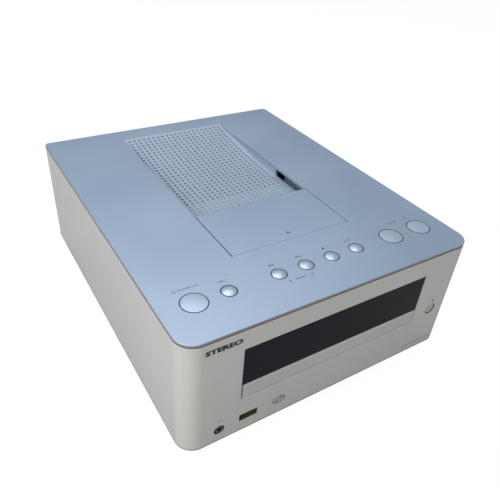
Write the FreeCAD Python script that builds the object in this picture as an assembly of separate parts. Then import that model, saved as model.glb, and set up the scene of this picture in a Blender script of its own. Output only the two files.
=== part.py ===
"""Mini hifi system: a compact disc receiver with a sliding dock lid on its top.

The row frame is in millimetres: X runs to the right, Y to the back and Z up. The origin is the middle
of the whole object's outline, on the surface that its feet stand on. One solid shape per named node.
"""
import FreeCAD, Part
import math
import os
from FreeCAD import Vector

# ---- driving dimensions -------------------------------------------------------------------------
width = 215.0                # casing, side to side
depth = 261.0                # casing, front face to rear lip
body_height = 88.0           # casing's bottom edge to the top cover
foot_height = 7.0
rear_reach = 13.0            # speaker caps behind the casing
casing_wall = 2.2
front_wall = 2.6
front_corner = 12.0          # plan radius of the front corners
rear_corner = 3.5
cover_thick = 2.4
groove_high = 1.0            # shadow gap between the cover's plate and the casing
groove_deep = 1.2

half = width / 2
front = -(depth + rear_reach) / 2
rear = front + depth
bottom = foot_height
top = foot_height + body_height
cover_under = top - cover_thick

# recess in the top, and the lid that slides over it
bay_half = 46.6              # half width of the opening
lid_gap = 0.5
lid_front_gap = 0.25
lid_front = front + 57.1
lid_back = front + 107.6
lid_thick = 2.2
lug_back = front + 112.6     # the lugs reach behind the lid
arm_back = front + 137.0     # the arms run on behind the slots
dish_back = front + 242.7    # where the vent dish meets the top
dish_low = front + 145.7     # lowest line of the dish
dish_depth = 8.6
dish_front = front + 99.5
dish_sheet = 1.6
dish_radius = ((dish_back - dish_low) ** 2 + dish_depth ** 2) / (2 * dish_depth)
vent_pitch = 4.25
vent_radius = 1.1
vent_columns = 21
vent_rows = 25               # open holes
blind_rows = 6               # shallow dimples in front of them
vent_first = front + 238.4   # rearmost row
blind_depth = 0.45
dock_y = front + 70.0        # dock plug
slot_front = front + 84.0    # guide slots for the lid's lugs
slot_back = front + 147.7
slot_low = top - 8.6
slot_high = top - 2.3

# keys on the top: name, x, hole radius
key_row = front + 29.6
key_travel = 0.8
key_gap = 0.45
small_key = 5.0
large_key = 8.15
keys = [
    ("power_button", -85.9, large_key),
    ("input_button", -64.0, small_key),
    ("previous_button", -30.0, small_key),
    ("next_button", -10.0, small_key),
    ("stop_button", 10.0, small_key),
    ("play_button", 30.0, small_key),
    ("volume_down_button", 60.7, large_key),
    ("volume_up_button", 86.6, large_key),
]
board_thick = 1.6
key_board_top = top - 10.2

# front face
window_half = 70.3
window_low = bottom + 30.1
window_high = bottom + 71.5
display_low = bottom + 41.2
usb_x, usb_z = -63.8, bottom + 12.1
jack_x, jack_z = -83.8, bottom + 10.1
jack_nose = 3.6
jack_bore = 1.8
eject_x, eject_z = 85.9, bottom + 36.3
eject_hole = 4.4

# disc drive
tray_travel = 122.0
tray_half = 65.3
tray_under = 39.4
rack_low = 37.4              # the rack's teeth pass over the window's lower edge
tray_top = 45.0
tray_end = 6.0
disc_y = front + 66.5        # spindle line with the tray shut
pocket_radius = 60.5
pocket_floor = 41.4
tray_slot = 20.0             # half width of the slot that the turntable stands in
frame_inner = 65.8
frame_outer = 69.0
frame_front = front + 6.0
frame_back = 20.0
frame_low = 24.5
frame_floor = 26.5
frame_high = 50.0
well_half = 42.0             # floor opening for the traverse
hinge_y, hinge_z = 6.0, 33.0
tray_module = 1.0
tray_gear_teeth = 16
pinion_teeth = 12
tray_gear_x, tray_gear_y = -42.0, -122.0
belt_x = tray_gear_x + (tray_gear_teeth + pinion_teeth) / 2 * math.cos(math.pi / 4)
belt_y = tray_gear_y + (tray_gear_teeth + pinion_teeth) / 2 * math.sin(math.pi / 4)
motor_x, motor_y = -2.0, -112.0
wheel_groove, pulley_groove = 10.5, 2.5
flange = 1.0
belt_gap = 0.1
belt_thick = 1.0
sled_module = 0.8
sled_teeth = 12
sled_pitch_x = 26.5
sled_gear_x = sled_pitch_x + sled_module * sled_teeth / 2
sled_gear_y = -40.0
lens_y = disc_y + 24.0
sled_travel = 33.0
rod_x, rod_z, rod_radius = 20.0, 34.0, 1.5
rod_front, rod_back = -86.0, 2.0
deck_z = 44.2                # where the disc lies on the turntable
running = 0.06               # radial clearance of what turns or slides on a pin

# rear connections
rear_face = rear - 2.2       # rear panel's outer face
panel_thick = 1.2
boss_front = rear - 9.0
rear_screw_low = bottom + 8
rear_screw_high = top - 6.5
post_pitch = 19.0
post_x, post_z = -43.0, bottom + 34.0
post_bore = 2.05
post_radius = 3.4
cap_radius = 6.4
line_x, line_z, line_pitch = 22.0, bottom + 32.0, 16.0
rca_radius = 4.15
antenna_x, antenna_z = 84.0, bottom + 60.0
inlet_x, inlet_z = -86.0, bottom + 22.0


# ---- helpers -------------------------------------------------------------------------------------
def block(x0, x1, y0, y1, z0, z1):
    """A box between two corners."""
    return Part.makeBox(x1 - x0, y1 - y0, z1 - z0, Vector(x0, y0, z0))


def rod(x, y, z, radius, length, axis=(0, 0, 1)):
    """A cylinder that starts at a point and runs along an axis."""
    return Part.makeCylinder(radius, length, Vector(x, y, z), Vector(*axis))


def ring(x, y, z, outer, inner, length, axis=(0, 0, 1)):
    """A tube."""
    return rod(x, y, z, outer, length, axis).cut(rod(x, y, z, inner, length, axis))


def join(shapes):
    """One solid from touching or overlapping shapes."""
    return shapes[0].multiFuse(shapes[1:]).removeSplitter()


def group(shapes):
    """Separate solids kept as one node."""
    return Part.makeCompound(shapes)


def plate(corners, thickness, direction):
    """A flat outline pushed along a direction."""
    points = [Vector(*c) for c in corners]
    face = Part.Face(Part.makePolygon(points + points[:1]))
    return face.extrude(Vector(*direction) * thickness)


def quarter(cx, cy, z, radius, start):
    """A quarter circle about a corner's centre, from a start angle, in the XY plane."""
    circle = Part.Circle(Vector(cx, cy, z), Vector(0, 0, 1), radius)
    return Part.Arc(circle, math.radians(start), math.radians(start + 90)).toShape()


def plan_slab(x, y0, y1, z0, z1, front_radius, back_radius):
    """A slab that is symmetric in X, with its own corner radii at the front and the back."""
    f, b = front_radius, back_radius
    edges = [
        quarter(-x + f, y0 + f, z0, f, 180),
        Part.makeLine(Vector(-x + f, y0, z0), Vector(x - f, y0, z0)),
        quarter(x - f, y0 + f, z0, f, 270),
        Part.makeLine(Vector(x, y0 + f, z0), Vector(x, y1 - b, z0)),
        quarter(x - b, y1 - b, z0, b, 0),
        Part.makeLine(Vector(x - b, y1, z0), Vector(-x + b, y1, z0)),
        quarter(-x + b, y1 - b, z0, b, 90),
        Part.makeLine(Vector(-x, y1 - b, z0), Vector(-x, y0 + f, z0)),
    ]
    return Part.Face(Part.Wire(edges)).extrude(Vector(0, 0, z1 - z0))


def soft(shape, radius, test):
    """Rounds the edges that a test picks."""
    return shape.makeFillet(radius, [e for e in shape.Edges if test(e)])


def is_upright(edge):
    """A straight edge along Z."""
    low, high = edge.Vertexes[0].Point, edge.Vertexes[-1].Point
    return abs(low.x - high.x) < 1e-6 and abs(low.y - high.y) < 1e-6 and len(edge.Vertexes) == 2


def at_height(edge, z):
    """An edge that lies at one height."""
    box = edge.BoundBox
    return abs(box.ZMin - z) < 1e-4 and abs(box.ZMax - z) < 1e-4


def gear(teeth, module, x, y, z, height, bore, turn):
    """A spur gear with involute flanks and a little backlash. One tooth points at the angle turn."""
    pitch = teeth * module / 2
    base = pitch * math.cos(math.radians(20))
    tip, root = pitch + 0.7 * module, pitch - 1.1 * module
    half_tooth = 0.44 * math.pi / teeth

    def flank(radius):
        pressure = math.acos(min(1.0, base / radius))
        return half_tooth + math.tan(math.radians(20)) - math.radians(20) - math.tan(pressure) + pressure

    radii = [root] + [max(root, base) + (tip - max(root, base)) * k / 4 for k in range(5)]
    points = []
    for k in range(teeth):
        middle = math.radians(turn) + 2 * math.pi * k / teeth
        side = [(r, flank(max(r, base))) for r in radii]
        for r, a in [(r, -a) for r, a in side] + side[::-1]:
            points.append((x + r * math.cos(middle + a), y + r * math.sin(middle + a), z))
    return plate(points, height, (0, 0, 1)).cut(rod(x, y, z, bore, height))


def rack(x_back, x_pitch, module, gap_y, y0, y1, z0, z1):
    """A rack whose teeth point along +X, with a gap centred on gap_y."""
    pitch = math.pi * module
    tip, root = x_pitch + 0.7 * module, x_pitch - 1.1 * module
    slope = math.tan(math.radians(20))
    half_tooth = 0.22 * pitch
    teeth = []
    first = math.ceil((y0 + 0.6 * pitch - gap_y) / pitch - 0.5)
    last = math.floor((y1 - 0.6 * pitch - gap_y) / pitch - 0.5)
    for k in range(first, last + 1):
        y = gap_y + (k + 0.5) * pitch
        at_root = half_tooth + (x_pitch - root) * slope
        at_tip = half_tooth - (tip - x_pitch) * slope
        outline = [(root - 0.1, y - at_root, z0), (tip, y - at_tip, z0), (tip, y + at_tip, z0),
                   (root - 0.1, y + at_root, z0)]
        teeth.append(plate(outline, z1 - z0, (0, 0, 1)))
    return join([block(x_back, root, y0, y1, z0, z1)] + teeth)


def belt_loop(radius_a, radius_b, z0, z1):
    """The outline that wraps the belt wheel and the motor pulley at these radii."""
    a, b = Vector(belt_x, belt_y, z0), Vector(motor_x, motor_y, z0)
    line = math.atan2(b.y - a.y, b.x - a.x)
    lean = math.acos((radius_a - radius_b) / a.distanceToPoint(b))

    def on(centre, radius, angle):
        return centre + Vector(math.cos(angle), math.sin(angle), 0) * radius

    edges = [
        Part.Arc(on(a, radius_a, line + lean), on(a, radius_a, line + math.pi),
                 on(a, radius_a, line - lean)).toShape(),
        Part.makeLine(on(a, radius_a, line - lean), on(b, radius_b, line - lean)),
        Part.Arc(on(b, radius_b, line - lean), on(b, radius_b, line),
                 on(b, radius_b, line + lean)).toShape(),
        Part.makeLine(on(b, radius_b, line + lean), on(a, radius_a, line + lean)),
    ]
    return Part.Face(Part.Wire(edges)).extrude(Vector(0, 0, z1 - z0))


# ---- casing --------------------------------------------------------------------------------------
def outer_casing():
    """Front and both sides in one white wrap, open above, below and behind between two lips."""
    shell = plan_slab(half, front, rear, bottom, cover_under, front_corner, rear_corner)
    shell = soft(shell, 0.5, lambda e: at_height(e, cover_under))
    shell = soft(shell, 0.8, lambda e: at_height(e, bottom))
    inner = plan_slab(half - casing_wall, front + front_wall, rear - 2.0, bottom - 1, top + 1,
                      front_corner - casing_wall, 0.5)
    mouth = block(-half + 6, half - 6, rear - 10, rear + 1, bottom - 1, top + 1)
    shell = shell.cut(inner).cut(mouth)
    y0, y1 = front - 1, front + front_wall + 1
    window = block(-window_half, window_half, y0, y1, window_low, window_high)
    window = soft(window, 0.6, lambda e: abs(e.BoundBox.YLength) > 2)
    usb = block(usb_x - 6.45, usb_x + 6.45, y0, y1, usb_z - 2.85, usb_z + 2.85)
    usb = soft(usb, 0.4, lambda e: abs(e.BoundBox.YLength) > 2)
    jack = rod(jack_x, y0, jack_z, jack_nose + 0.1, y1 - y0, (0, 1, 0))
    eject = rod(eject_x, y0, eject_z, eject_hole, y1 - y0, (0, 1, 0))
    shell = shell.cut(window).cut(usb).cut(jack).cut(eject)
    bosses = []
    for x, z in rear_screw_places()[:4]:
        xs = sorted((math.copysign(half - casing_wall, x), math.copysign(94.0, x)))
        boss = block(xs[0], xs[1], boss_front, rear - 3.7, z - 4, z + 4)
        bosses.append(boss.cut(rod(x, boss_front - 1, z, 1.5, 10, (0, 1, 0))))
    return join([shell] + bosses)


def top_cover():
    """Silver cover with the key holes and the opening for lid and dish."""
    plate_low = cover_under + groove_high
    cover = plan_slab(half, front, rear, plate_low, top, front_corner, rear_corner)
    cover = soft(cover, 0.5, lambda e: at_height(e, top))
    web = plan_slab(half - groove_deep, front + groove_deep, rear - groove_deep, cover_under, plate_low,
                    front_corner - groove_deep, rear_corner - groove_deep)
    cover = join([cover, web])
    bay = block(-bay_half, bay_half, lid_front - lid_front_gap, dish_back, cover_under - 1, top + 1)
    cover = cover.cut(bay)
    cover = soft(cover, 0.4, lambda e: at_height(e, top) and e.BoundBox.YLength > 150
                 and abs(abs(e.BoundBox.XMin) - bay_half) < 0.01)
    holes = [rod(x, key_row, cover_under - 1, radius, cover_thick + 2) for _, x, radius in keys]
    cover = cover.cut(group(holes))
    cover = soft(cover, 0.25, lambda e: at_height(e, top) and e.BoundBox.XLength < 18
                 and e.BoundBox.YLength < 18 and e.Length > 20)
    tongues = [block(x - 5, x + 5, rear - 8.0, rear - 4.6, cover_under - 6, cover_under)
               for x in (-80.0, 0.0, 80.0)]
    holes = [rod(x, rear - 9, rear_screw_high, 1.5, 10, (0, 1, 0)) for x in (-80.0, 0.0, 80.0)]
    return join([cover] + tongues).cut(group(holes))


def dish_profile(drop, y_front, y_back):
    """The dish's outline seen from the side, as a wire edge list, lowered by drop."""
    low = top - dish_depth - drop
    radius = dish_radius + drop
    centre_z = low + radius

    def arc_z(y):
        return centre_z - math.sqrt(radius ** 2 - (y - dish_low) ** 2)

    middle = (dish_low + y_back) / 2
    arc = Part.Arc(Vector(0, dish_low, low), Vector(0, middle, arc_z(middle)),
                   Vector(0, y_back, arc_z(y_back)))
    return [Part.makeLine(Vector(0, y_front, low), Vector(0, dish_low, low)), arc.toShape()]


def vent_grille():
    """The recess behind the lid: a perforated dish between two walls, each with a guide slot."""
    y_back = dish_back + 6.0
    upper = dish_profile(0.0, dish_front, y_back)
    end_upper, end_lower = upper[1].Vertexes[1].Point, None
    lower = dish_profile(dish_sheet, dish_front, y_back)
    end_lower = lower[1].Vertexes[1].Point
    outline = Part.Wire([
        lower[1].reversed(), lower[0].reversed(),
        Part.makeLine(lower[0].Vertexes[0].Point, upper[0].Vertexes[0].Point),
        upper[0], upper[1],
        Part.makeLine(end_upper, end_lower),
    ])
    outer = bay_half + dish_sheet
    sheet = Part.Face(outline).extrude(Vector(2 * outer, 0, 0))
    sheet.translate(Vector(-outer, 0, 0))
    under_cover = block(-outer, outer, dish_front, y_back + 1, cover_under, top + 5)
    inside_bay = block(-bay_half, bay_half, dish_front - 1, dish_back, cover_under - 1, top + 6)
    sheet = sheet.cut(under_cover.cut(inside_bay))
    wall_low = top - dish_depth - dish_sheet
    walls = [block(x, x + dish_sheet, lid_front, dish_back, wall_low, cover_under)
             for x in (-outer, bay_half)]
    tub = join([sheet] + walls)
    corners = [e for e in tub.Edges if e.BoundBox.YLength > 60 and abs(e.BoundBox.XLength) < 1e-3
               and abs(abs(e.BoundBox.XMin) - bay_half) < 1e-3 and e.BoundBox.ZMax < top - 0.5
               and abs(e.BoundBox.ZMin - (top - dish_depth)) < 0.05]
    if corners:
        try:
            tub = tub.makeFillet(1.6, corners)
        except Part.OCCError:
            print("the dish's corner fillet was left out")
    slots = [block(x0, x1, slot_front, slot_back, slot_low, slot_high)
             for x0, x1 in ((-outer - 1, -bay_half + 2.2), (bay_half - 2.2, outer + 1))]
    slots = [soft(s, 1.6, lambda e: e.BoundBox.XLength > 2) for s in slots]
    tub = tub.cut(group(slots))
    columns = [(k - (vent_columns - 1) / 2) * vent_pitch for k in range(vent_columns)]
    holes = []
    for row in range(vent_rows + blind_rows):
        y = vent_first - row * vent_pitch
        if y < dish_front + vent_pitch / 2:
            break
        z = top - dish_depth - (blind_depth if row >= vent_rows else 6)
        holes += [rod(x, y, z, vent_radius, 20) for x in columns]
    return tub.cut(group(holes))


def dock_lid():
    """Flat lid with two skirts, whose lugs run in the guide slots. A shallow arrow points back."""
    lid_half = bay_half - lid_gap
    lid = block(-lid_half, lid_half, lid_front, lid_back, top - lid_thick, top)
    lid = soft(lid, 0.6, is_upright)
    lid = soft(lid, 0.25, lambda e: at_height(e, top))
    y = lid_front + 7.0
    z = top - 0.3
    arrow = plate([(-2.0, y - 1.6, z), (2.0, y - 1.6, z), (0, y + 2.0, z)], 1, (0, 0, 1))
    lid = lid.cut(arrow)
    parts = [lid]
    y0, y1 = lid_back - 27.0, lid_back - 5.0
    for side in (-1, 1):
        inner, outer, reach = lid_half - 1.5, lid_half, bay_half + dish_sheet + 1.2
        xs = sorted((side * inner, side * outer))
        parts.append(block(xs[0], xs[1], y0, y1, top - 7.0, top - lid_thick))
        xs = sorted((side * inner, side * reach))
        parts.append(block(xs[0], xs[1], y0 + 4, lug_back, top - 6.6, top - 3.8))
        xs = sorted((side * (reach - 0.8), side * (reach + 1.2)))
        parts.append(block(xs[0], xs[1], y0 + 4, arm_back, top - 7.6, top - 3.2))
    return join(parts)


def bottom_chassis():
    """Folded steel pan with cooling slots and raised sides."""
    x, y0, y1, z = half - casing_wall - 0.5, front + front_wall + 0.6, rear - 3.6, bottom + 0.4
    pan = block(-x, x, y0, y1, z, z + 1.2)
    pan = soft(pan, 10.5, lambda e: is_upright(e) and e.BoundBox.YMin < 0)
    sides = [block(s, s + 1.2, y0 + 16, boss_front - 1, z, z + 9) for s in (-x, x - 1.2)]
    tab = block(-6, 6, boss_front, y1, z + 1.0, z + 12)
    tab = tab.cut(rod(0, boss_front - 1, rear_screw_low, 1.5, 10, (0, 1, 0)))
    slots = [block(cx - 14, cx + 14, cy, cy + 3, z - 1, z + 3)
             for cx in (-45, 45) for cy in range(10, 100, 8)]
    holes = [rod(fx, fy, z - 1, 1.7, 4) for fx, fy in foot_places()]
    return join([pan, tab] + sides).cut(group(slots + holes))


def foot_places():
    """Where the four feet stand."""
    return [(x, y) for x in (-86.0, 86.0) for y in (front + 30.0, rear - 34.0)]


def rubber_feet():
    """Four round feet with a screw recess."""
    feet = []
    for x, y in foot_places():
        foot = rod(x, y, 0, 10.0, foot_height + 0.4)
        foot = soft(foot, 1.0, lambda e: at_height(e, 0))
        foot = foot.cut(rod(x, y, -1, 4.0, 4.5)).cut(rod(x, y, 0, 1.6, 20))
        feet.append(foot)
    return group(feet)


def cross_screw(x, y, z, axis, length):
    """Pan-head screw whose head is seated at a point and whose shank runs along an axis."""
    a = Vector(*axis)
    start = Vector(x, y, z)
    head = Part.makeCylinder(2.9, 1.8, start - a * 1.8, a)
    shank = Part.makeCylinder(1.45, length, start, a)
    side = Vector(a.y, a.z, a.x)
    across = Vector(a.z, a.x, a.y)
    screw = join([head, shank])
    for long_way, short_way in ((side, across), (across, side)):
        p = start - a * 1.81 - long_way * 1.6 - short_way * 0.35
        outline = [p, p + long_way * 3.2, p + long_way * 3.2 + short_way * 0.7, p + short_way * 0.7]
        screw = screw.cut(plate([tuple(c) for c in outline], 1.0, axis))
    return screw


def rear_screw_places():
    """Screws that hold the rear panel and the cover's tongues."""
    corners = [(x, z) for z in (rear_screw_low, top - 14) for x in (-98, 98)]
    return corners + [(0, rear_screw_low)] + [(x, rear_screw_high) for x in (-80, 0, 80)]


def screws():
    """Foot screws and rear panel screws."""
    made = [cross_screw(x, y, 3.5, (0, 0, 1), 6.0) for x, y in foot_places()]
    made += [cross_screw(x, rear_face, z, (0, -1, 0), 5.0) for x, z in rear_screw_places()]
    return group(made)


def rear_panel():
    """Steel rear panel with the holes for the connections and a grid of cooling slots."""
    y0, y1 = rear_face - panel_thick, rear_face
    x = half - casing_wall - 0.5
    panel = block(-x, x, y0, y1, bottom + 2.0, cover_under - 0.3)
    cuts = [block(inlet_x - 12.2, inlet_x + 12.2, y0 - 1, y1 + 1, inlet_z - 8.2, inlet_z + 8.2)]
    cuts += [rod(x, y0 - 1, z, post_radius + 1.6, 4, (0, 1, 0)) for x, z in post_places()]
    cuts += [rod(x, y0 - 1, z, rca_radius + 0.4, 4, (0, 1, 0)) for x, z in line_places()]
    cuts += [rod(antenna_x, y0 - 1, antenna_z, 5.2, 4, (0, 1, 0))]
    cuts += [block(x, x + 2.4, y0 - 1, y1 + 1, top - 26, top - 12) for x in range(-64, 66, 6)]
    cuts += [rod(x, y0 - 1, z, 1.5, 4, (0, 1, 0)) for x, z in rear_screw_places()]
    return panel.cut(group(cuts))


# ---- front ---------------------------------------------------------------------------------------
def display_window():
    """Black glossy window, set a little behind the front face."""
    window = block(-window_half + 0.2, window_half - 0.2, front + 0.7, front + 2.7, display_low,
                   window_high - 0.2)
    rim = block(-window_half - 3, window_half + 3, front + front_wall + 0.1, front + front_wall + 1.3,
                display_low, window_high + 3)
    return join([window, rim])


def display_module():
    """Character display behind the window: a metal frame round a glass cell."""
    y0, y1 = front + 4.4, front + 11.0
    body = block(-52, 52, y0, y1, display_low + 3.5, window_high - 2.0)
    view = block(-47, 47, y0 - 1, y0 + 0.8, display_low + 7, window_high - 5.5)
    return body.cut(view)


def front_board():
    """Board behind the display, with a tab that carries the eject switch."""
    y0 = front + 11.4
    board = join([block(-66, 98, y0, y0 + board_thick, display_low + 2, window_high + 3),
                  block(76, 98, y0, y0 + board_thick, eject_z - 8, window_high)])
    switch = block(eject_x - 3, eject_x + 3, y0 - 3.6, y0, eject_z - 3, eject_z + 3)
    plunger = rod(eject_x, y0 - 4.2, eject_z, 1.7, 0.7, (0, 1, 0))
    return join([board, switch, plunger])


def eject_button():
    """Round push key on the front face, lightly domed, on a stem."""
    radius = eject_hole - 0.35
    cap = rod(eject_x, front + 0.3, eject_z, radius, 2.6, (0, 1, 0))
    cap = soft(cap, 0.5, lambda e: e.BoundBox.YMax < front + 0.31)
    collar = rod(eject_x, front + front_wall + 0.3, eject_z, eject_hole + 1.0, 1.0, (0, 1, 0))
    stem = rod(eject_x, front + 2.8, eject_z, 1.8, 3.3, (0, 1, 0))
    return join([cap, collar, stem])


def headphone_jack():
    """Stereo socket with a ribbed nose that fills the casing's hole."""
    body = block(jack_x - 5.5, jack_x + 5.5, front + front_wall + 0.2, front + 16.5,
                 jack_z - 3.0, jack_z + 5.0)
    nose = rod(jack_x, front + 0.15, jack_z, jack_nose, 4.0, (0, 1, 0))
    nose = soft(nose, 0.5, lambda e: e.BoundBox.YMax < front + 0.2)
    collar = ring(jack_x, front, jack_z, jack_bore + 0.9, jack_bore, 0.4, (0, 1, 0))
    bore = rod(jack_x, front - 1, jack_z, jack_bore, 15.0, (0, 1, 0))
    return join([body, nose, collar]).cut(bore)


def usb_port():
    """Type A receptacle: a folded metal shell with a tongue inside."""
    y0, y1 = front + front_wall + 0.1, front + 17.0
    shell = block(usb_x - 6.65, usb_x + 6.65, y0, y1, usb_z - 2.96, usb_z + 2.96)
    hollow = block(usb_x - 6.25, usb_x + 6.25, y0 - 1, y1 - 1.0, usb_z - 2.56, usb_z + 2.56)
    tongue = block(usb_x - 5.5, usb_x + 5.5, y0 + 1.8, y1 - 1.0, usb_z + 0.45, usb_z + 2.25)
    return join([shell.cut(hollow), tongue])


def jack_board():
    """Small board under the headphone and data sockets."""
    return block(-97, -54, front + 5.0, front + 34.0, jack_z - 3.0 - board_thick, jack_z - 3.0)


# ---- keys on the top -----------------------------------------------------------------------------
def top_key(x, hole):
    """A round key: domed cap, a collar that keeps it in, and a stem over its switch."""
    radius = hole - key_gap
    rise = 0.9 if hole == small_key else 0.5
    sphere = (radius ** 2 + rise ** 2) / (2 * rise)
    cap = rod(x, key_row, top - 2.8, radius, 4.0)
    dome = Part.makeSphere(sphere, Vector(x, key_row, top + rise - sphere))
    cap = cap.common(dome)
    collar = rod(x, key_row, cover_under - 1.4, hole + 0.9, 1.0)
    neck = rod(x, key_row, cover_under - 0.6, radius, 1.0)
    stem = rod(x, key_row, key_board_top + 5.1, 2.0, cover_under - 1.0 - key_board_top - 5.1)
    return join([cap, neck, collar, stem])


def key_board():
    """Long board under the row of keys, with its own two rests."""
    x = half - casing_wall - 6
    board = block(-x, x, key_row - 11, key_row + 11, key_board_top - board_thick, key_board_top)
    rests = [block(s - 2.5, s + 2.5, key_row + 5.5, key_row + 10.5, key_board_top, cover_under)
             for s in (-97, 97)]
    return join([board] + rests)


def key_switches():
    """Eight tactile switches in a row."""
    made = []
    for _, x, _ in keys:
        body = block(x - 3, x + 3, key_row - 3, key_row + 3, key_board_top, key_board_top + 3.5)
        made.append(join([body, rod(x, key_row, key_board_top + 3.4, 1.7, 0.8)]))
    return group(made)


# ---- dock under the lid --------------------------------------------------------------------------
def dock_well():
    """Tub under the lid where a portable player stands."""
    x, y0, y1 = 43.2, lid_front + 1.0, dish_front - 0.5
    z1 = top - lid_thick - 1.0
    z0 = z1 - 19.0
    tub = block(-x, x, y0, y1, z0, z1)
    tub = soft(tub, 3.0, is_upright)
    hollow = block(-x + 1.6, x - 1.6, y0 + 1.6, y1 - 1.6, z0 + 1.6, z1 + 1)
    hollow = soft(hollow, 2.0, is_upright)
    slot = block(-12, 12, dock_y - 2, dock_y + 2, z0 - 1, z0 + 3)
    tub = tub.cut(hollow).cut(slot)
    sill = block(-24, 24, dock_y + 5, dock_y + 7, z0 + 1.5, z0 + 5.0)
    return join([tub, sill])


def dock_connector():
    """Wide flat plug that stands up through the tub's floor, on its little board."""
    z0 = top - lid_thick - 20.0
    y = dock_y
    tongue = block(-10.8, 10.8, y - 0.9, y + 0.9, z0 - 2.4, z0 + 7.0)
    head = block(-11.6, 11.6, y - 1.7, y + 1.7, z0 - 2.4, z0 + 3.4)
    board = block(-20, 20, y - 9, y + 9, z0 - 4.0, z0 - 2.4)
    return join([board, head, tongue])


# ---- disc drive ----------------------------------------------------------------------------------
def disc_tray():
    """Sliding tray with the disc pocket, a slot for turntable and lens, and the rack below."""
    y0 = front + 3.0
    tray = block(-tray_half, tray_half, y0, tray_end, tray_under, tray_top)
    tray = soft(tray, 3.0, lambda e: is_upright(e) and e.BoundBox.YMin > 0)
    pocket = rod(0, disc_y, pocket_floor, pocket_radius, 10)
    inner = rod(0, disc_y, pocket_floor - 0.6, 41.0, 10)
    slot = join([rod(0, disc_y, tray_under - 1, tray_slot, 10),
                 block(-tray_slot, tray_slot, disc_y, tray_end + 1, tray_under - 1, tray_top + 1)])
    grips = [rod(0, disc_y - pocket_radius, pocket_floor - 0.6, 14.0, 10)]
    tray = tray.cut(pocket).cut(inner).cut(slot).cut(group(grips))
    teeth = rack(-53.0, tray_gear_x - tray_module * tray_gear_teeth / 2, tray_module, tray_gear_y,
                 -129.0, tray_end - 1, rack_low, tray_under + 0.1)
    return join([tray, teeth])


def tray_front():
    """White strip that closes the tray's mouth under the window."""
    strip = block(-window_half + 1.4, window_half - 0.7, front + 0.2, front + 3.0, window_low + 0.5,
                  display_low - 0.4)
    strip = soft(strip, 1.2, lambda e: e.BoundBox.XLength > 100 and e.BoundBox.ZMin > display_low - 1
                 and e.BoundBox.YMax < front + 0.3)
    return soft(strip, 0.5, lambda e: is_upright(e) and e.BoundBox.YMax < front + 0.3)


def loader_frame():
    """Moulded frame: floor, side rails that guide the tray, gear pins and hinge ears."""
    floor = block(-frame_outer, frame_outer, frame_front, frame_back, frame_low, frame_floor)
    well = block(-well_half, well_half, -96.0, hinge_y + 7, frame_low - 1, frame_floor + 1)
    shaft_hole = rod(motor_x, motor_y, frame_low - 1, 3.0, 5)
    floor = floor.cut(well).cut(shaft_hole)
    parts = [floor]
    for side in (-1, 1):
        xs = sorted((side * frame_inner, side * frame_outer))
        parts.append(block(xs[0], xs[1], frame_front, frame_back, frame_low, frame_high))
        xs = sorted((side * 61.0, side * frame_inner))
        parts.append(block(xs[0], xs[1], frame_front, frame_back, 37.8, tray_under - 0.3))
        xs = sorted((side * 62.0, side * frame_inner))
        parts += [block(xs[0], xs[1], y - 5, y + 5, tray_top + 0.4, tray_top + 2.0)
                  for y in (-118, -60, -6)]
        xs = sorted((side * (well_half + 0.5), side * (well_half + 4.0)))
        ear = block(xs[0], xs[1], hinge_y - 3.5, hinge_y + 3.5, frame_floor - 0.5, hinge_z + 3.0)
        parts.append(ear.cut(rod(xs[0] - 1, hinge_y, hinge_z, 1.5 + running, 6, (1, 0, 0))))
    parts.append(rod(tray_gear_x, tray_gear_y, frame_floor - 0.5, 1.5, 39.0 - frame_floor + 0.5))
    parts.append(rod(belt_x, belt_y, frame_floor - 0.5, 1.5, 35.0 - frame_floor + 0.5))
    back = block(-frame_outer, frame_outer, frame_back - 2.0, frame_back, frame_low, frame_high)
    legs = [block(x - 3, x + 3, y - 3, y + 3, bottom + 1.6, frame_low + 0.5)
            for x, y in frame_leg_places()]
    return join(parts + [back] + legs)


def frame_leg_places():
    """Where the drive's four legs stand on the chassis."""
    return [(x, y) for x in (-65.5, 65.5) for y in (-98.0, frame_back - 4)]


def clamp_bridge():
    """Steel strap over the tray that carries the disc clamp."""
    y0, y1 = disc_y - 17.0, disc_y + 17.0
    strap = block(-frame_outer, frame_outer, y0, y1, frame_high, frame_high + 1.6)
    return strap.cut(rod(0, disc_y, frame_high - 1, 12.6, 4))


def disc_clamp():
    """Round puck that hangs in the strap and presses the disc on the turntable."""
    puck = join([
        rod(0, disc_y, deck_z + 1.4, 14.5, 1.9),
        rod(0, disc_y, deck_z + 3.0, 12.0, frame_high - deck_z - 0.8),
        rod(0, disc_y, frame_high + 2.0, 16.0, 1.5),
    ])
    return puck.cut(rod(0, disc_y, deck_z, 8.2, 3.0))


def traverse_base():
    """Tilting sub-frame for motor, lens sled and guide rods. It turns on pins at its back."""
    x = 39.0
    base = block(-x, x, -92.0, hinge_y + 2.0, 28.0, 30.0)
    window = block(-16.0, 16.0, disc_y + 12.5, -4.0, 27, 31)
    hub = rod(0, disc_y, 27, 3.2, 4)
    shaft = rod(sled_gear_x, sled_gear_y, 27, 1.6, 4)
    base = base.cut(window).cut(hub).cut(shaft)
    parts = [base]
    for side in (-1, 1):
        for y in (rod_front + 2.0, rod_back - 2.0):
            holder = block(side * rod_x - 2.6, side * rod_x + 2.6, y - 2.0, y + 2.0, 29.5, 37.0)
            parts.append(holder.cut(rod(side * rod_x, y - 3, rod_z, rod_radius, 6, (0, 1, 0))))
        xs = sorted((side * 33.0, side * 38.0))
        parts.append(block(xs[0], xs[1], hinge_y - 2.0, hinge_y + 2.0, 29.5, hinge_z + 2.0))
        start = side * 33.0
        parts.append(rod(start, hinge_y, hinge_z, 1.5, well_half + 4.0 - 33.0, (side, 0, 0)))
    return join(parts)


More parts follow.
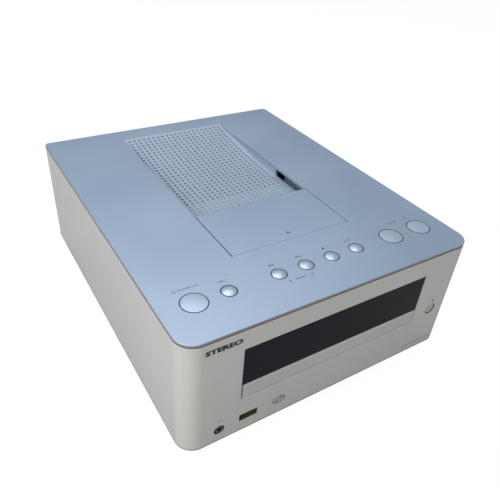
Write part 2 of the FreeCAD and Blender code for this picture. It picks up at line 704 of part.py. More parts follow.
def guide_rods():
    """Two polished rods for the lens sled."""
    return group([rod(x, rod_front, rod_z, rod_radius, rod_back - rod_front, (0, 1, 0))
                  for x in (-rod_x, rod_x)])


def spindle_motor():
    """Flat motor under the traverse, with the shaft's bush."""
    can = rod(0, disc_y, 21.5, 11.0, 6.4)
    can = soft(can, 0.8, lambda e: at_height(e, 21.5))
    bush = rod(0, disc_y, 27.5, 3.0, 4.5)
    return join([can, bush]).cut(rod(0, disc_y, 22.5, 1.25 + running, 12))


def turntable():
    """Turntable with its centring cone and shaft."""
    return join([
        rod(0, disc_y, deck_z - 1.8, 15.0, 1.8),
        rod(0, disc_y, 32.6, 4.5, deck_z - 33.0),
        Part.makeCone(7.4, 5.6, 2.0, Vector(0, disc_y, deck_z)),
        rod(0, disc_y, 23.0, 1.25, 10.0),
    ])


def pickup_sled():
    """Lens carriage on the two rods, with the rack that moves it."""
    y0, y1 = lens_y - 8.0, lens_y + 8.0
    sled = block(-24.0, 24.0, y0, y1, 32.0, 38.4)
    for x in (-rod_x, rod_x):
        sled = sled.cut(rod(x, y0 - 1, rod_z, rod_radius + running, 20, (0, 1, 0)))
    sled = sled.cut(rod(0, lens_y, 33.0, 7.0, 10))
    teeth = rack(24.0 - 0.5, sled_pitch_x, sled_module, sled_gear_y, -77.0, -36.0, 32.0, 34.4)
    return join([sled, teeth])


def pickup_lens():
    """Lens and its little holder."""
    holder = join([rod(0, lens_y, 33.0, 6.6, 6.6), rod(0, lens_y, 39.5, 3.4, 1.4)])
    dome = Part.makeSphere(3.4, Vector(0, lens_y, 38.6)).common(rod(0, lens_y, 40.2, 2.4, 3))
    return join([holder, dome])


def sled_motor():
    """Small motor under the traverse; its shaft carries the sled's pinion."""
    can = rod(sled_gear_x, sled_gear_y, 20.5, 7.0, 7.4)
    return join([can, rod(sled_gear_x, sled_gear_y, 27.5, 1.0, 8.0)])


def sled_gear():
    """Pinion that drives the sled's rack."""
    return gear(sled_teeth, sled_module, sled_gear_x, sled_gear_y, 31.0, 3.3, 1.0 + running, 180)


def loading_motor():
    """Motor that opens the tray, hung under the frame's floor."""
    can = rod(motor_x, motor_y, 11.0, 10.0, frame_low - 11.0)
    return join([can, rod(motor_x, motor_y, frame_low - 1, 1.0, 8.0)])


def pulley(x, y, groove, bore):
    """A grooved belt pulley."""
    return join([rod(x, y, 28.0, groove + flange, 0.5), rod(x, y, 28.4, groove, 2.2),
                 rod(x, y, 30.5, groove + flange, 0.5)]).cut(rod(x, y, 27, bore, 6))


def motor_pulley():
    """Small pulley on the loading motor."""
    return pulley(motor_x, motor_y, pulley_groove, 1.0 + running)


def belt_wheel():
    """Large pulley with the pinion that turns the tray gear."""
    wheel = pulley(belt_x, belt_y, wheel_groove, 1.5 + running)
    turn = 225 + 180 / pinion_teeth
    return join([wheel, gear(pinion_teeth, tray_module, belt_x, belt_y, 30.9, 3.5, 1.5 + running, turn)])


def drive_belt():
    """Rubber belt in the grooves of both pulleys."""
    inner = belt_gap
    outer = belt_gap + belt_thick
    loop = belt_loop(wheel_groove + outer, pulley_groove + outer, 28.8, 30.2)
    return loop.cut(belt_loop(wheel_groove + inner, pulley_groove + inner, 28.8, 30.2))


def tray_gear():
    """Tall gear: its foot meets the pinion and its head meets the tray's rack."""
    return gear(tray_gear_teeth, tray_module, tray_gear_x, tray_gear_y, 31.4, 7.5, 1.5 + running, 180)


# ---- electronics ---------------------------------------------------------------------------------
def main_board():
    """Main board on the floor of the case."""
    board = block(-100, 100, -88, 114, bottom + 5.4, bottom + 5.4 + board_thick)
    gaps = [block(x - 3.6, x + 3.6, y - 3.6, y + 3.6, bottom, frame_low) for x, y in frame_leg_places()]
    chips = [block(x, x + w, y, y + d, bottom + 5.4, bottom + 5.4 + board_thick + h)
             for x, y, w, d, h in ((-20, -30, 20, 20, 1.6), (60, 0, 14, 14, 1.4), (-90, -40, 12, 24, 4.0))]
    standoffs = [rod(x, y, bottom + 1.6, 3.0, 3.9) for x in (-94, 94) for y in (-80, 108)]
    return join([board] + chips + standoffs).cut(group(gaps))


def power_transformer():
    """Laminated transformer with its winding."""
    z = bottom + 5.4 + board_thick
    core = block(-94, -34, 36, 86, z, z + 42)
    core = core.cut(block(-95, -33, 46, 76, z + 10, z + 32))
    legs = block(-72, -56, 36, 86, z, z + 42)
    winding = block(-88, -40, 34, 88, z + 11, z + 31)
    winding = soft(winding, 4.0, lambda e: e.BoundBox.YLength > 40)
    return join([core, legs, winding])


def heat_sink():
    """Finned aluminium block below the vent."""
    z0, z1 = bottom + 5.4 + board_thick, top - 24
    base = block(-16, 50, 62, 67, z0, z1)
    fins = [block(x, x + 1.6, 67, 92, z0, z1) for x in range(-16, 50, 6)]
    chips = [block(x, x + 14, 58, 62, z0 + 12, z0 + 30) for x in (-8, 26)]
    return join([base] + fins + chips)


def capacitors():
    """Smoothing capacitors and a row of smaller ones."""
    z = bottom + 5.4 + board_thick
    made = [soft(rod(x, y, z, 12.5, 38), 1.2, lambda e: at_height(e, z + 38))
            for x, y in ((-16, 40), (14, 38))]
    made += [rod(x, y, z, 4.0, 12) for x in (72, 84, 94) for y in (24, 40)]
    return group(made)


def tuner_module():
    """Screened tuner behind the antenna socket."""
    can = block(66, 96, 74, rear_face - panel_thick - 0.6, antenna_z - 14, antenna_z + 10)
    foot = block(70, 92, 90, 96, bottom + 5.4 + board_thick, antenna_z - 13)
    return join([can, foot])


def ribbon_cable():
    """Flat cable from the front board down to the main board."""
    y0 = front + 11.4 + board_thick
    path = [(y0, 66.0), (y0 + 5, 66.0), (y0 + 5, 52.6), (-40.0, 52.6), (-40.0, 52.2), (y0 + 4.6, 52.2),
            (y0 + 4.6, 65.6), (y0, 65.6)]
    flat = plate([(74, y, z) for y, z in path], 18.0, (1, 0, 0))
    down = block(74, 92, -40.4, -40.0, bottom + 5.4 + board_thick, 52.6)
    return join([flat, down])


# ---- rear connections ----------------------------------------------------------------------------
def post_places():
    """Centres of the four speaker posts: left and right channel, each with two poles."""
    return [(post_x + i * post_pitch, post_z + j * 20.0) for j in (0, 1) for i in (0, 1)]


def line_places():
    """Centres of the six phono sockets."""
    return [(line_x + i * line_pitch, line_z + j * 16.0) for i in (0, 1, 2) for j in (0, 1)]


def speaker_block():
    """Plastic carrier of the speaker posts, inside the panel, with a collar round each post."""
    y0, y1 = rear_face - panel_thick - 8.0, rear_face - panel_thick - 0.1
    xs = [x for x, _ in post_places()]
    zs = [z for _, z in post_places()]
    body = block(min(xs) - 10, max(xs) + 10, y0, y1, min(zs) - 10, max(zs) + 10)
    body = join([body] + [rod(x, y1 - 1, z, post_radius + 1.4, 3.2, (0, 1, 0)) for x, z in post_places()])
    return body.cut(group([rod(x, y0 - 1, z, post_radius + 0.05, 20, (0, 1, 0)) for x, z in post_places()]))


def speaker_posts():
    """Four brass posts, each bored for a 4 mm plug."""
    y0, y1 = rear_face - panel_thick - 10.0, rear + rear_reach - 1.0
    made = []
    for x, z in post_places():
        post = rod(x, y0, z, post_radius, y1 - y0, (0, 1, 0))
        made.append(post.cut(rod(x, y1 - 16, z, post_bore, 18, (0, 1, 0))))
    return group(made)


def speaker_cap(x, z):
    """Ribbed thumb nut of one speaker post."""
    y0, y1 = rear + 1.2, rear + rear_reach
    cap = rod(x, y0, z, cap_radius, y1 - y0, (0, 1, 0))
    cap = soft(cap, 0.8, lambda e: e.BoundBox.YLength < 0.01)
    ribs = [rod(x + (cap_radius + 0.25) * math.cos(a), y0 - 1, z + (cap_radius + 0.25) * math.sin(a), 0.7,
                y1 - y0 - 2.0, (0, 1, 0)) for a in [math.radians(20 * k) for k in range(18)]]
    return cap.cut(group(ribs)).cut(rod(x, y0 - 1, z, post_radius + running, 20, (0, 1, 0)))


def line_jacks():
    """Six phono sockets in one moulded block."""
    y0, y1 = rear_face - panel_thick - 9.0, rear_face - panel_thick - 0.1
    body = block(line_x - 7, line_x + 2 * line_pitch + 7, y0, y1, line_z - 7, line_z + 23)
    sleeves = [ring(x, y1 - 1, z, rca_radius, 3.2, 10.0, (0, 1, 0)) for x, z in line_places()]
    pins = [ring(x, y1 - 1, z, 2.6, 1.6, 9.0, (0, 1, 0)) for x, z in line_places()]
    holes = [rod(x, y0 + 1.5, z, 1.6, 20, (0, 1, 0)) for x, z in line_places()]
    return join([body] + sleeves + pins).cut(group(holes))


def antenna_jack():
    """Coaxial antenna socket."""
    y0 = rear_face - panel_thick - 0.6
    flange_ring = ring(antenna_x, y0, antenna_z, 4.9, 3.6, 3.0, (0, 1, 0))
    sleeve = ring(antenna_x, y0, antenna_z, 4.75, 3.9, 11.0, (0, 1, 0))
    back = rod(antenna_x, y0, antenna_z, 4.9, 1.0, (0, 1, 0))
    pin = rod(antenna_x, y0, antenna_z, 1.15, 9.5, (0, 1, 0))
    return join([flange_ring, sleeve, back, pin])


def ac_inlet():
    """Two-pole mains inlet, a housing with a rounded cavity and two pins."""
    y0, y1 = rear_face - 20.0, rear_face + 1.4
    body = block(inlet_x - 11.8, inlet_x + 11.8, y0, y1 - 1.0, inlet_z - 7.8, inlet_z + 7.8)
    rim = block(inlet_x - 14.5, inlet_x + 14.5, rear_face + 0.05, y1, inlet_z - 10.5, inlet_z + 10.5)
    rim = soft(rim, 3.0, lambda e: e.BoundBox.YLength > 1)
    lobes = [rod(inlet_x + s * 4.3, y1 - 12.5, inlet_z, 4.6, 20, (0, 1, 0)) for s in (-1, 1)]
    middle = block(inlet_x - 4.3, inlet_x + 4.3, y1 - 12.5, y1 + 7.5, inlet_z - 4.2, inlet_z + 4.2)
    cavity = join(lobes + [middle])
    pins = [rod(inlet_x + s * 4.3, y1 - 13.5, inlet_z, 1.2, 10.0, (0, 1, 0)) for s in (-1, 1)]
    return join([join([body, rim]).cut(cavity)] + pins)


# ---- write every node ----------------------------------------------------------------------------
single_makers = [
    outer_casing, top_cover, vent_grille, dock_lid, bottom_chassis, rear_panel, rubber_feet, screws,
    display_window, display_module, front_board, eject_button, headphone_jack, usb_port, jack_board,
    key_board, key_switches, dock_well, dock_connector, disc_tray, tray_front, loader_frame,
    clamp_bridge, disc_clamp, traverse_base, guide_rods, spindle_motor, turntable, pickup_sled,
    pickup_lens, sled_motor, sled_gear, loading_motor, motor_pulley, belt_wheel, drive_belt, tray_gear,
    main_board, power_transformer, heat_sink, capacitors, tuner_module, ribbon_cable, speaker_block,
    speaker_posts, line_jacks, antenna_jack, ac_inlet,
]


def main():
    """Writes parts/NODE.step for every piece."""
    os.makedirs("parts", exist_ok=True)
    made = {maker.__name__: maker() for maker in single_makers}
    for name, x, hole in keys:
        made[name] = top_key(x, hole)
    for label, (x, z) in zip(("lower_left", "lower_right", "upper_left", "upper_right"), post_places()):
        made["speaker_cap_" + label] = speaker_cap(x, z)
    for name, shape in made.items():
        if not shape.isValid():
            print("not valid:", name)
        if any(s.Volume <= 0 for s in shape.Solids) or not shape.Solids:
            print("no volume:", name)
        shape.exportStep("parts/" + name + ".step")
    print(len(made), "nodes")


main()
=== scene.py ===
# Mini hifi system: finishes, printed marks, small fittings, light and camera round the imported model.
import bmesh
import bpy
import math
import numpy as np
from mathutils import Matrix, Vector


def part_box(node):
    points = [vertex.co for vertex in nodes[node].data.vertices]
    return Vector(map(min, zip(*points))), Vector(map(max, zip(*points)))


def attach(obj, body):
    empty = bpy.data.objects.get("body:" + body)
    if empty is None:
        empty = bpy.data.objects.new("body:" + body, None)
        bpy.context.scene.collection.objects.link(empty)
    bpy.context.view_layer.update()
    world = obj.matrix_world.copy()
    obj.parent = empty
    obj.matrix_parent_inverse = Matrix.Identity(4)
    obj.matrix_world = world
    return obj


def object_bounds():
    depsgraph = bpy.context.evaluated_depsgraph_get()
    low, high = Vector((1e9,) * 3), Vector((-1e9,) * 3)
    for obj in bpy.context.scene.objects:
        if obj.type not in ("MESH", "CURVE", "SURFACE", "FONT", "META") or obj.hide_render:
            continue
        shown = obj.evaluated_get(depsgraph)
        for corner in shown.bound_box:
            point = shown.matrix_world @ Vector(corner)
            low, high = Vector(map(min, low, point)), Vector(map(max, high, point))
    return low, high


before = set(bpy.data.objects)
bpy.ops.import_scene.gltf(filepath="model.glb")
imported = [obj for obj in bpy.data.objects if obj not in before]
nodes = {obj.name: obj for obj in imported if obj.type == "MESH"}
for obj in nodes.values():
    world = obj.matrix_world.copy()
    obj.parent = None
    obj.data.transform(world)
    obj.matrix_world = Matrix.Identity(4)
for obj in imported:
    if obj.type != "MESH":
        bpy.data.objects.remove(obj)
cadBox = [list(corner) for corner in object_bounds()]
mm = 0.001
crispEdge = math.radians(32)  # an edge that turns more than this stays sharp
print("frame:", len(nodes), "nodes")


def boxMm(name):
    # a node's lowest and highest corners in millimetres
    return [np.array(corner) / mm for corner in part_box(name)]


def hexColour(text):
    # sRGB hex to linear light: the low part is c/12.92, the rest ((c + 0.055)/1.055) to the 2.4
    c = np.array([int(text[i:i + 2], 16) for i in (1, 3, 5)]) / 255
    return (*np.where(c < 0.04045, c / 12.92, ((c + 0.055) / 1.055) ** 2.4), 1.0)


def addNode(tree, kind, values=None, links=None):
    # one node: values set its sockets or properties, links join its sockets to other nodes' outputs
    node = tree.nodes.new("ShaderNode" + kind)
    for name, value in (values or {}).items():
        if isinstance(name, int) or name in node.inputs:
            node.inputs[name].default_value = value
        else:
            setattr(node, name, value)
    for name, source in (links or {}).items():
        tree.links.new(source, node.inputs[name])
    return node


# What each finish is, and what that gives the eye. Sizes are real millimetres.
finishes = {
    # sprayed gloss lacquer on a moulding: clear reflections with a little orange peel
    "glossWhiteLacquer": {
        "colour": "#cfcfcc", "shade": "#cacac7", "cloudMm": 90, "roughness": 0.24, "ior": 1.5,
        "coat": 0.5, "coatRoughness": 0.05, "grainMm": 2.2, "reliefMm": 0.0012},
    # fine silver paint on aluminium sheet, its blue tint a painted reflection of the sky: satin, with flakes
    # drawn three times their size so they show
    "satinSilverPaint": {
        "colour": "#9cafc5", "shade": "#94a8bf", "cloudMm": 70, "metallic": 0.45, "roughness": 0.42,
        "grainMm": 0.45, "reliefMm": 0.0016, "flakeMm": 0.5, "coat": 0.25, "coatRoughness": 0.2},
    # the same colour, painted sky reflection and all, sprayed on the moulded dish: fewer flakes, so its walls
    # stay light
    "grillePaint": {
        "colour": "#99a8bb", "shade": "#93a3b6", "cloudMm": 50, "metallic": 0.1, "roughness": 0.45,
        "grainMm": 0.45, "reliefMm": 0.0016, "flakeMm": 0.5, "coat": 0.2, "coatRoughness": 0.2},
    # the same paint, painted sky reflection and all, on moulded keys, with a clear coat that picks up the
    # light on their domes
    "keySilver": {
        "colour": "#adbdd0", "shade": "#a4b5c9", "cloudMm": 12, "metallic": 0.4, "roughness": 0.32,
        "grainMm": 0.5, "reliefMm": 0.001, "coat": 0.4, "coatRoughness": 0.14},
    # the wide keys have the paint alone, so the light spreads evenly over them
    "wideKeySilver": {
        "colour": "#aabbcf", "shade": "#a3b5ca", "cloudMm": 20, "metallic": 0.4, "roughness": 0.42,
        "grainMm": 0.5, "reliefMm": 0.001, "coat": 0.2, "coatRoughness": 0.2},
    # pale satin moulding of the eject key
    "satinBeige": {
        "colour": "#cdc4b0", "shade": "#c3baa6", "cloudMm": 8, "roughness": 0.38, "grainMm": 0.4,
        "reliefMm": 0.002},
    # moulded white strip, finely textured in the tool
    "satinWhiteMoulding": {
        "colour": "#cacac9", "shade": "#c3c3c2", "cloudMm": 40, "roughness": 0.4, "grainMm": 0.35,
        "reliefMm": 0.002},
    # tinted acrylic, black from outside, polished
    "blackAcrylic": {
        "colour": "#070817", "shade": "#090b1d", "cloudMm": 60, "roughness": 0.07, "ior": 1.49,
        "specular": 0.2, "grainMm": 6.0, "reliefMm": 0.0005},
    # glass-filled black moulding, spark eroded tool: matt with a fine sandy grain
    "blackMoulding": {
        "colour": "#17181a", "shade": "#101113", "cloudMm": 25, "roughness": 0.5, "grainMm": 0.5,
        "reliefMm": 0.008},
    # the same moulding in grey; also the painted shade on the lid's arms
    "greyMouldingAndArmShade": {
        "colour": "#56585b", "shade": "#4c4e52", "cloudMm": 25, "roughness": 0.46, "grainMm": 0.5,
        "reliefMm": 0.007},
    # unpainted acetal gears: waxy off-white
    "naturalAcetal": {
        "colour": "#e3dfd0", "shade": "#d8d3c2", "cloudMm": 8, "roughness": 0.34, "grainMm": 0.6,
        "reliefMm": 0.002, "subsurface": 0.15},
    # zinc coated sheet: soft spangle a few millimetres across
    "galvanisedSteel": {
        "colour": "#a3a6a8", "shade": "#8b8f92", "cloudMm": 30, "metallic": 1.0, "roughness": 0.4,
        "grainMm": 0.6, "reliefMm": 0.003, "spangleMm": 5.0},
    # ground and nickel plated
    "brightNickel": {
        "colour": "#c9c8c4", "shade": "#bdbcb8", "cloudMm": 6, "metallic": 1.0, "roughness": 0.18,
        "grainMm": 0.3, "reliefMm": 0.001, "brushed": True},
    # thin gold over nickel: warm and bright
    "goldPlate": {
        "colour": "#d8b45c", "shade": "#c9a24b", "cloudMm": 5, "metallic": 1.0, "roughness": 0.22,
        "grainMm": 0.3, "reliefMm": 0.001},
    # turned and lacquered: fine lines that draw out the highlights
    "turnedBrass": {
        "colour": "#cfae62", "shade": "#b9974c", "cloudMm": 6, "metallic": 1.0, "roughness": 0.28,
        "grainMm": 0.3, "reliefMm": 0.003, "brushed": True},
    # extruded and cut: fine lines along the fins
    "extrudedAluminium": {
        "colour": "#b8babd", "shade": "#a7aaae", "cloudMm": 20, "metallic": 1.0, "roughness": 0.35,
        "grainMm": 0.4, "reliefMm": 0.006, "brushed": True},
    # green solder mask over glass cloth
    "solderMask": {
        "colour": "#1c5a36", "shade": "#154a2b", "cloudMm": 9, "roughness": 0.3, "coat": 0.4,
        "coatRoughness": 0.15, "grainMm": 0.8, "reliefMm": 0.006},
    # the main board's mask, with black epoxy packages standing on it
    "boardWithChips": {
        "colour": "#1c5a36", "shade": "#154a2b", "cloudMm": 9, "roughness": 0.3, "coat": 0.3,
        "coatRoughness": 0.15, "grainMm": 0.8, "reliefMm": 0.006,
        "patch": [("Z", 24.2, 10.0)], "patchColour": "#161618"},
    # moulded rubber: almost no shine
    "nitrileRubber": {
        "colour": "#1a1a1a", "shade": "#131313", "cloudMm": 10, "roughness": 0.72, "grainMm": 0.4,
        "reliefMm": 0.012},
    # lacquered steel laminations, and varnished tape over the winding between them
    "coreAndTape": {
        "colour": "#45474b", "shade": "#3a3c40", "cloudMm": 12, "roughness": 0.42, "grainMm": 1.0,
        "reliefMm": 0.02, "brushed": True,
        "patch": [("X", -64.0, 24.05), ("Z", 35.0, 10.05)], "patchColour": "#a4712c"},
    # sleeve shrunk over the cans: dark blue and glossy
    "shrinkSleeve": {
        "colour": "#1a2340", "shade": "#141b33", "cloudMm": 10, "roughness": 0.25, "coat": 0.4,
        "coatRoughness": 0.1, "grainMm": 1.5, "reliefMm": 0.004},
    # dyed clear-look mouldings of the thumb nuts
    "redCap": {
        "colour": "#b01714", "shade": "#9c110f", "cloudMm": 5, "roughness": 0.22, "coat": 0.6,
        "coatRoughness": 0.06, "grainMm": 1.0, "reliefMm": 0.002},
    "blackCap": {
        "colour": "#141416", "shade": "#0e0e10", "cloudMm": 5, "roughness": 0.22, "coat": 0.6,
        "coatRoughness": 0.06, "grainMm": 1.0, "reliefMm": 0.002},
    # moulded nylon: plain white, half matt
    "whiteInsulator": {
        "colour": "#dcdcd8", "shade": "#d0d0cc", "cloudMm": 5, "roughness": 0.35, "grainMm": 0.5,
        "reliefMm": 0.002},
    # the top plate's edge, painted warm grey for the shade and floor reflection it shows
    "edgeShadeAndReflection": {
        "colour": "#9a928b", "shade": "#8f8780", "cloudMm": 15, "metallic": 0.1, "roughness": 0.5,
        "grainMm": 0.4, "reliefMm": 0.004},
    # painted shadow line along the wrap's lower edge: brown
    "bottomShadowLine": {
        "colour": "#7a6551", "shade": "#6e5a48", "cloudMm": 12, "roughness": 0.6, "grainMm": 0.4,
        "reliefMm": 0.004},
    # painted shade in the groove between the plate and the wrap
    "grooveShadeGrey": {
        "colour": "#7a746e", "shade": "#716b66", "cloudMm": 10, "roughness": 0.75, "specular": 0.3,
        "grainMm": 0.5, "reliefMm": 0.01},
    # painted shade: flat black put in the gaps between parts
    "paintedGapShade": {
        "colour": "#0b0b0c", "shade": "#080809", "cloudMm": 8, "roughness": 0.8, "specular": 0.2,
        "grainMm": 0.5, "reliefMm": 0.004},
    # passivated shell of the data socket, yellowed by age
    "darkTin": {
        "colour": "#776d56", "shade": "#685f4a", "cloudMm": 6, "metallic": 0.4, "roughness": 0.42,
        "grainMm": 0.4, "reliefMm": 0.002},
    # painted shade: a sheet behind the vent holes, coloured as the shade seen through them
    "holeShadeSheet": {
        "colour": "#74859b", "shade": "#6b7c92", "cloudMm": 12, "roughness": 0.8, "specular": 0.2,
        "grainMm": 0.35, "reliefMm": 0.02},
    # coated lens: deep blue with a hard gloss
    "coatedLens": {
        "colour": "#3c3f8f", "shade": "#4a3f86", "cloudMm": 3, "roughness": 0.04, "ior": 1.55, "coat": 1.0,
        "coatRoughness": 0.02, "grainMm": 3.0, "reliefMm": 0.0003},
    # smoked glass of the display: dark and smooth
    "tintedGlass": {
        "colour": "#10161c", "shade": "#0c1116", "cloudMm": 20, "roughness": 0.08, "ior": 1.5, "coat": 0.8,
        "coatRoughness": 0.03, "grainMm": 4.0, "reliefMm": 0.0004},
    # laminated film: pale, with a soft sheen
    "polyesterFilm": {
        "colour": "#d5d5cf", "shade": "#c6c6c0", "cloudMm": 10, "roughness": 0.32, "grainMm": 1.0,
        "reliefMm": 0.004},
    # screen printed inks: flat, slightly raised
    "greyInk": {"colour": "#4c525b", "shade": "#454b54", "cloudMm": 4, "roughness": 0.55, "grainMm": 0.4,
                "reliefMm": 0.002},
    "blackInk": {"colour": "#0d0c0e", "shade": "#0a090b", "cloudMm": 4, "roughness": 0.4, "grainMm": 0.4,
                 "reliefMm": 0.002},
    "paleInk": {"colour": "#77777a", "shade": "#6f6f72", "cloudMm": 4, "roughness": 0.5, "grainMm": 0.4,
                "reliefMm": 0.002},
    "softInk": {"colour": "#6d7783", "shade": "#66707c", "cloudMm": 4, "roughness": 0.5, "grainMm": 0.4,
                "reliefMm": 0.002},
    "signInk": {"colour": "#5b5a5c", "shade": "#545355", "cloudMm": 4, "roughness": 0.5, "grainMm": 0.4,
                "reliefMm": 0.002},
}

perMetre = 1000  # a pattern's scale is 1000 over its size in millimetres
cellRange = {"flakeMm": (0.965, 1.035), "spangleMm": (0.88, 1.06)}
rampEnds = (0.3, 0.7)
brushScale = (0.025, 1, 1)  # lines forty times as long as they are wide
wearRange = (0.9, 1.12)  # roughness drifts between these shares of its value


def makeFinish(name, look):
    # colour drifts between two tones, and the relief comes from noise as fine as the real grain
    material = bpy.data.materials.new(name)
    material.use_nodes = True
    tree = material.node_tree
    tree.nodes.clear()
    place = addNode(tree, "TexCoord").outputs["Object"]
    cloud = addNode(tree, "TexNoise", {"Scale": perMetre / look["cloudMm"], "Detail": 3.0}, {"Vector": place})
    tone = addNode(tree, "ValToRGB", links={"Fac": cloud.outputs["Fac"]})
    for stop, position, tint in zip(tone.color_ramp.elements, rampEnds, ("shade", "colour")):
        stop.position = position
        stop.color = hexColour(look[tint])
    colour = tone.outputs["Color"]
    grainPlace = place
    if look.get("brushed"):
        grainPlace = addNode(tree, "Mapping", {"Scale": brushScale}, {"Vector": place}).outputs["Vector"]
    grain = addNode(tree, "TexNoise", {"Scale": perMetre / look["grainMm"], "Detail": 2.0},
                    {"Vector": grainPlace})
    for cellMm, (darkest, lightest) in cellRange.items():
        # painted glints: each flake or crystal cell is made lighter or darker, standing in for the light it
        # catches at its own angle
        if cellMm in look:  # flakes and crystals lie at many angles, so each cell is lighter or darker
            cells = addNode(tree, "TexVoronoi", {"Scale": perMetre / look[cellMm]}, {"Vector": place})
            level = addNode(tree, "MapRange", {"To Min": darkest, "To Max": lightest},
                            {"Value": cells.outputs["Color"]})
            colour = addNode(tree, "HueSaturation", links={
                "Color": colour, "Value": level.outputs["Result"]}).outputs["Color"]
    if "patch" in look:  # a second tone inside a block of space, given as (axis, middle, half size) in mm
        axes = addNode(tree, "SeparateXYZ", links={"Vector": place})
        inside = None
        for axis, centre, reach in look["patch"]:
            near = addNode(tree, "Math", {"operation": "COMPARE", 1: centre * mm, 2: reach * mm},
                           {0: axes.outputs[axis]}).outputs["Value"]
            inside = near if inside is None else addNode(
                tree, "Math", {"operation": "MULTIPLY"}, {0: inside, 1: near}).outputs["Value"]
        colour = addNode(tree, "MixRGB", {"Color2": hexColour(look["patchColour"])},
                         {"Fac": inside, "Color1": colour}).outputs["Color"]
    smoothest, roughest = (look["roughness"] * share for share in wearRange)
    wear = addNode(tree, "MapRange", {"To Min": smoothest, "To Max": roughest},
                   {"Value": cloud.outputs["Fac"]})
    relief = addNode(tree, "Bump", {"Strength": 1.0, "Distance": look["reliefMm"] * mm},
                     {"Height": grain.outputs["Fac"]})
    shader = addNode(tree, "BsdfPrincipled", {
        "Metallic": look.get("metallic", 0.0), "IOR": look.get("ior", 1.5),
        "Specular IOR Level": look.get("specular", 0.5),
        "Coat Weight": look.get("coat", 0.0), "Coat Roughness": look.get("coatRoughness", 0.03),
        "Subsurface Weight": look.get("subsurface", 0.0), "Subsurface Scale": 2 * mm,
    }, {"Base Color": colour, "Roughness": wear.outputs["Result"], "Normal": relief.outputs["Normal"]})
    addNode(tree, "OutputMaterial", links={"Surface": shader.outputs["BSDF"]})
    return material


made = {name: makeFinish(name, look) for name, look in finishes.items()}
print("finishes:", len(made))

# Which finish each CAD node wears.
worn = {
    "glossWhiteLacquer": ["outer_casing"],
    "satinSilverPaint": ["top_cover", "dock_lid"],
    "grillePaint": ["vent_grille"],
    "keySilver": ["input_button", "previous_button", "next_button", "stop_button", "play_button"],
    "wideKeySilver": ["power_button", "volume_down_button", "volume_up_button"],
    "satinBeige": ["eject_button"],
    "satinWhiteMoulding": ["tray_front"],
    "blackAcrylic": ["display_window"],
    "blackMoulding": ["headphone_jack", "key_switches", "dock_connector", "disc_tray", "loader_frame",
                      "disc_clamp", "turntable", "speaker_block", "line_jacks", "ac_inlet"],
    "greyMouldingAndArmShade": ["dock_well", "traverse_base", "pickup_sled"],
    "naturalAcetal": ["sled_gear", "motor_pulley", "belt_wheel", "tray_gear"],
    "galvanisedSteel": ["bottom_chassis", "rear_panel", "clamp_bridge", "spindle_motor", "sled_motor",
                        "loading_motor", "tuner_module"],
    "darkTin": ["usb_port"],
    "brightNickel": ["screws", "guide_rods", "antenna_jack"],
    "turnedBrass": ["speaker_posts"],
    "extrudedAluminium": ["heat_sink"],
    "solderMask": ["front_board", "jack_board", "key_board"],
    "boardWithChips": ["main_board"],
    "nitrileRubber": ["rubber_feet", "drive_belt"],
    "coreAndTape": ["power_transformer"],
    "shrinkSleeve": ["capacitors"],
    "redCap": ["speaker_cap_lower_right", "speaker_cap_upper_right"],
    "blackCap": ["speaker_cap_lower_left", "speaker_cap_upper_left"],
    "coatedLens": ["pickup_lens"],
    "tintedGlass": ["display_module"],
    "polyesterFilm": ["ribbon_cable"],
}

weldReach = 0.002 * mm
flatWeight = 100  # large flat faces stay flat
for finish, names in worn.items():
    for name in names:
        piece = nodes[name]
        piece.data.materials.clear()
        piece.data.materials.append(made[finish])
        piece.data.shade_smooth()
        weld = piece.modifiers.new("weld", "WELD")
        weld.merge_threshold = weldReach
        split = piece.modifiers.new("edges", "EDGE_SPLIT")
        split.split_angle = crispEdge
        level = piece.modifiers.new("normals", "WEIGHTED_NORMAL")
        level.weight = flatWeight
bare = set(nodes) - {name for names in worn.values() for name in names}
print("nodes without a finish:", sorted(bare))


def newPiece(name, vertices, faces, finish, body, smooth=False):
    # a mesh object at the origin that rides on a CAD body
    mesh = bpy.data.meshes.new(name)
    mesh.from_pydata(vertices.tolist(), [], faces)
    mesh.materials.append(made[finish])
    mesh.validate()
    if smooth:
        mesh.shade_smooth()
    piece = bpy.data.objects.new(name, mesh)
    bpy.context.scene.collection.objects.link(piece)
    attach(piece, body)
    return piece


def gridFaces(rows, columns, closeRows=False, start=0):
    # quads of a grid of rows x columns points whose columns run round and close on themselves
    r = np.arange(rows if closeRows else rows - 1)[:, None]
    c = np.arange(columns)[None, :]
    r2, c2 = (r + 1) % rows, (c + 1) % columns
    quads = np.stack([r * columns + c, r * columns + c2, r2 * columns + c2, r2 * columns + c], -1)
    return (quads.reshape(-1, 4) + start).tolist()


def spread(origin, right, up, flat):
    # places flat points (x, y, height) on a face: origin + x right + y up + height outwards
    right, up = np.array(right, float), np.array(up, float)
    out = np.cross(right, up)
    return np.array(origin) + flat[:, :1] * right + flat[:, 1:2] * up + flat[:, 2:] * out


def inked(outlines, origin, right, up, thick=0.03, sink=0.02):
    # each closed outline is carried outwards from just below the face to just above it, then capped
    points, faces = [], []
    for outline in outlines:
        n, start = len(outline), sum(len(p) for p in points)
        rings = [np.column_stack([outline, np.full(n, h)]) for h in (-sink, thick)]
        points += rings
        faces += gridFaces(2, n, start=start)
        faces += [list(range(start + n, start + 2 * n)), list(range(start + n - 1, start - 1, -1))]
    return spread(origin, right, up, np.vstack(points)), faces


def slabPoints(low, high):
    # the eight corners of a thin strip and its six faces, outwards
    (x0, y0, z0), (x1, y1, z1) = low, high
    corners = np.array([[x, y, z] for z in (z0, z1) for x, y in ((x0, y0), (x1, y0), (x1, y1), (x0, y1))])
    return corners, [[3, 2, 1, 0], [4, 5, 6, 7], [0, 1, 5, 4], [1, 2, 6, 5], [2, 3, 7, 6], [3, 0, 4, 7]]


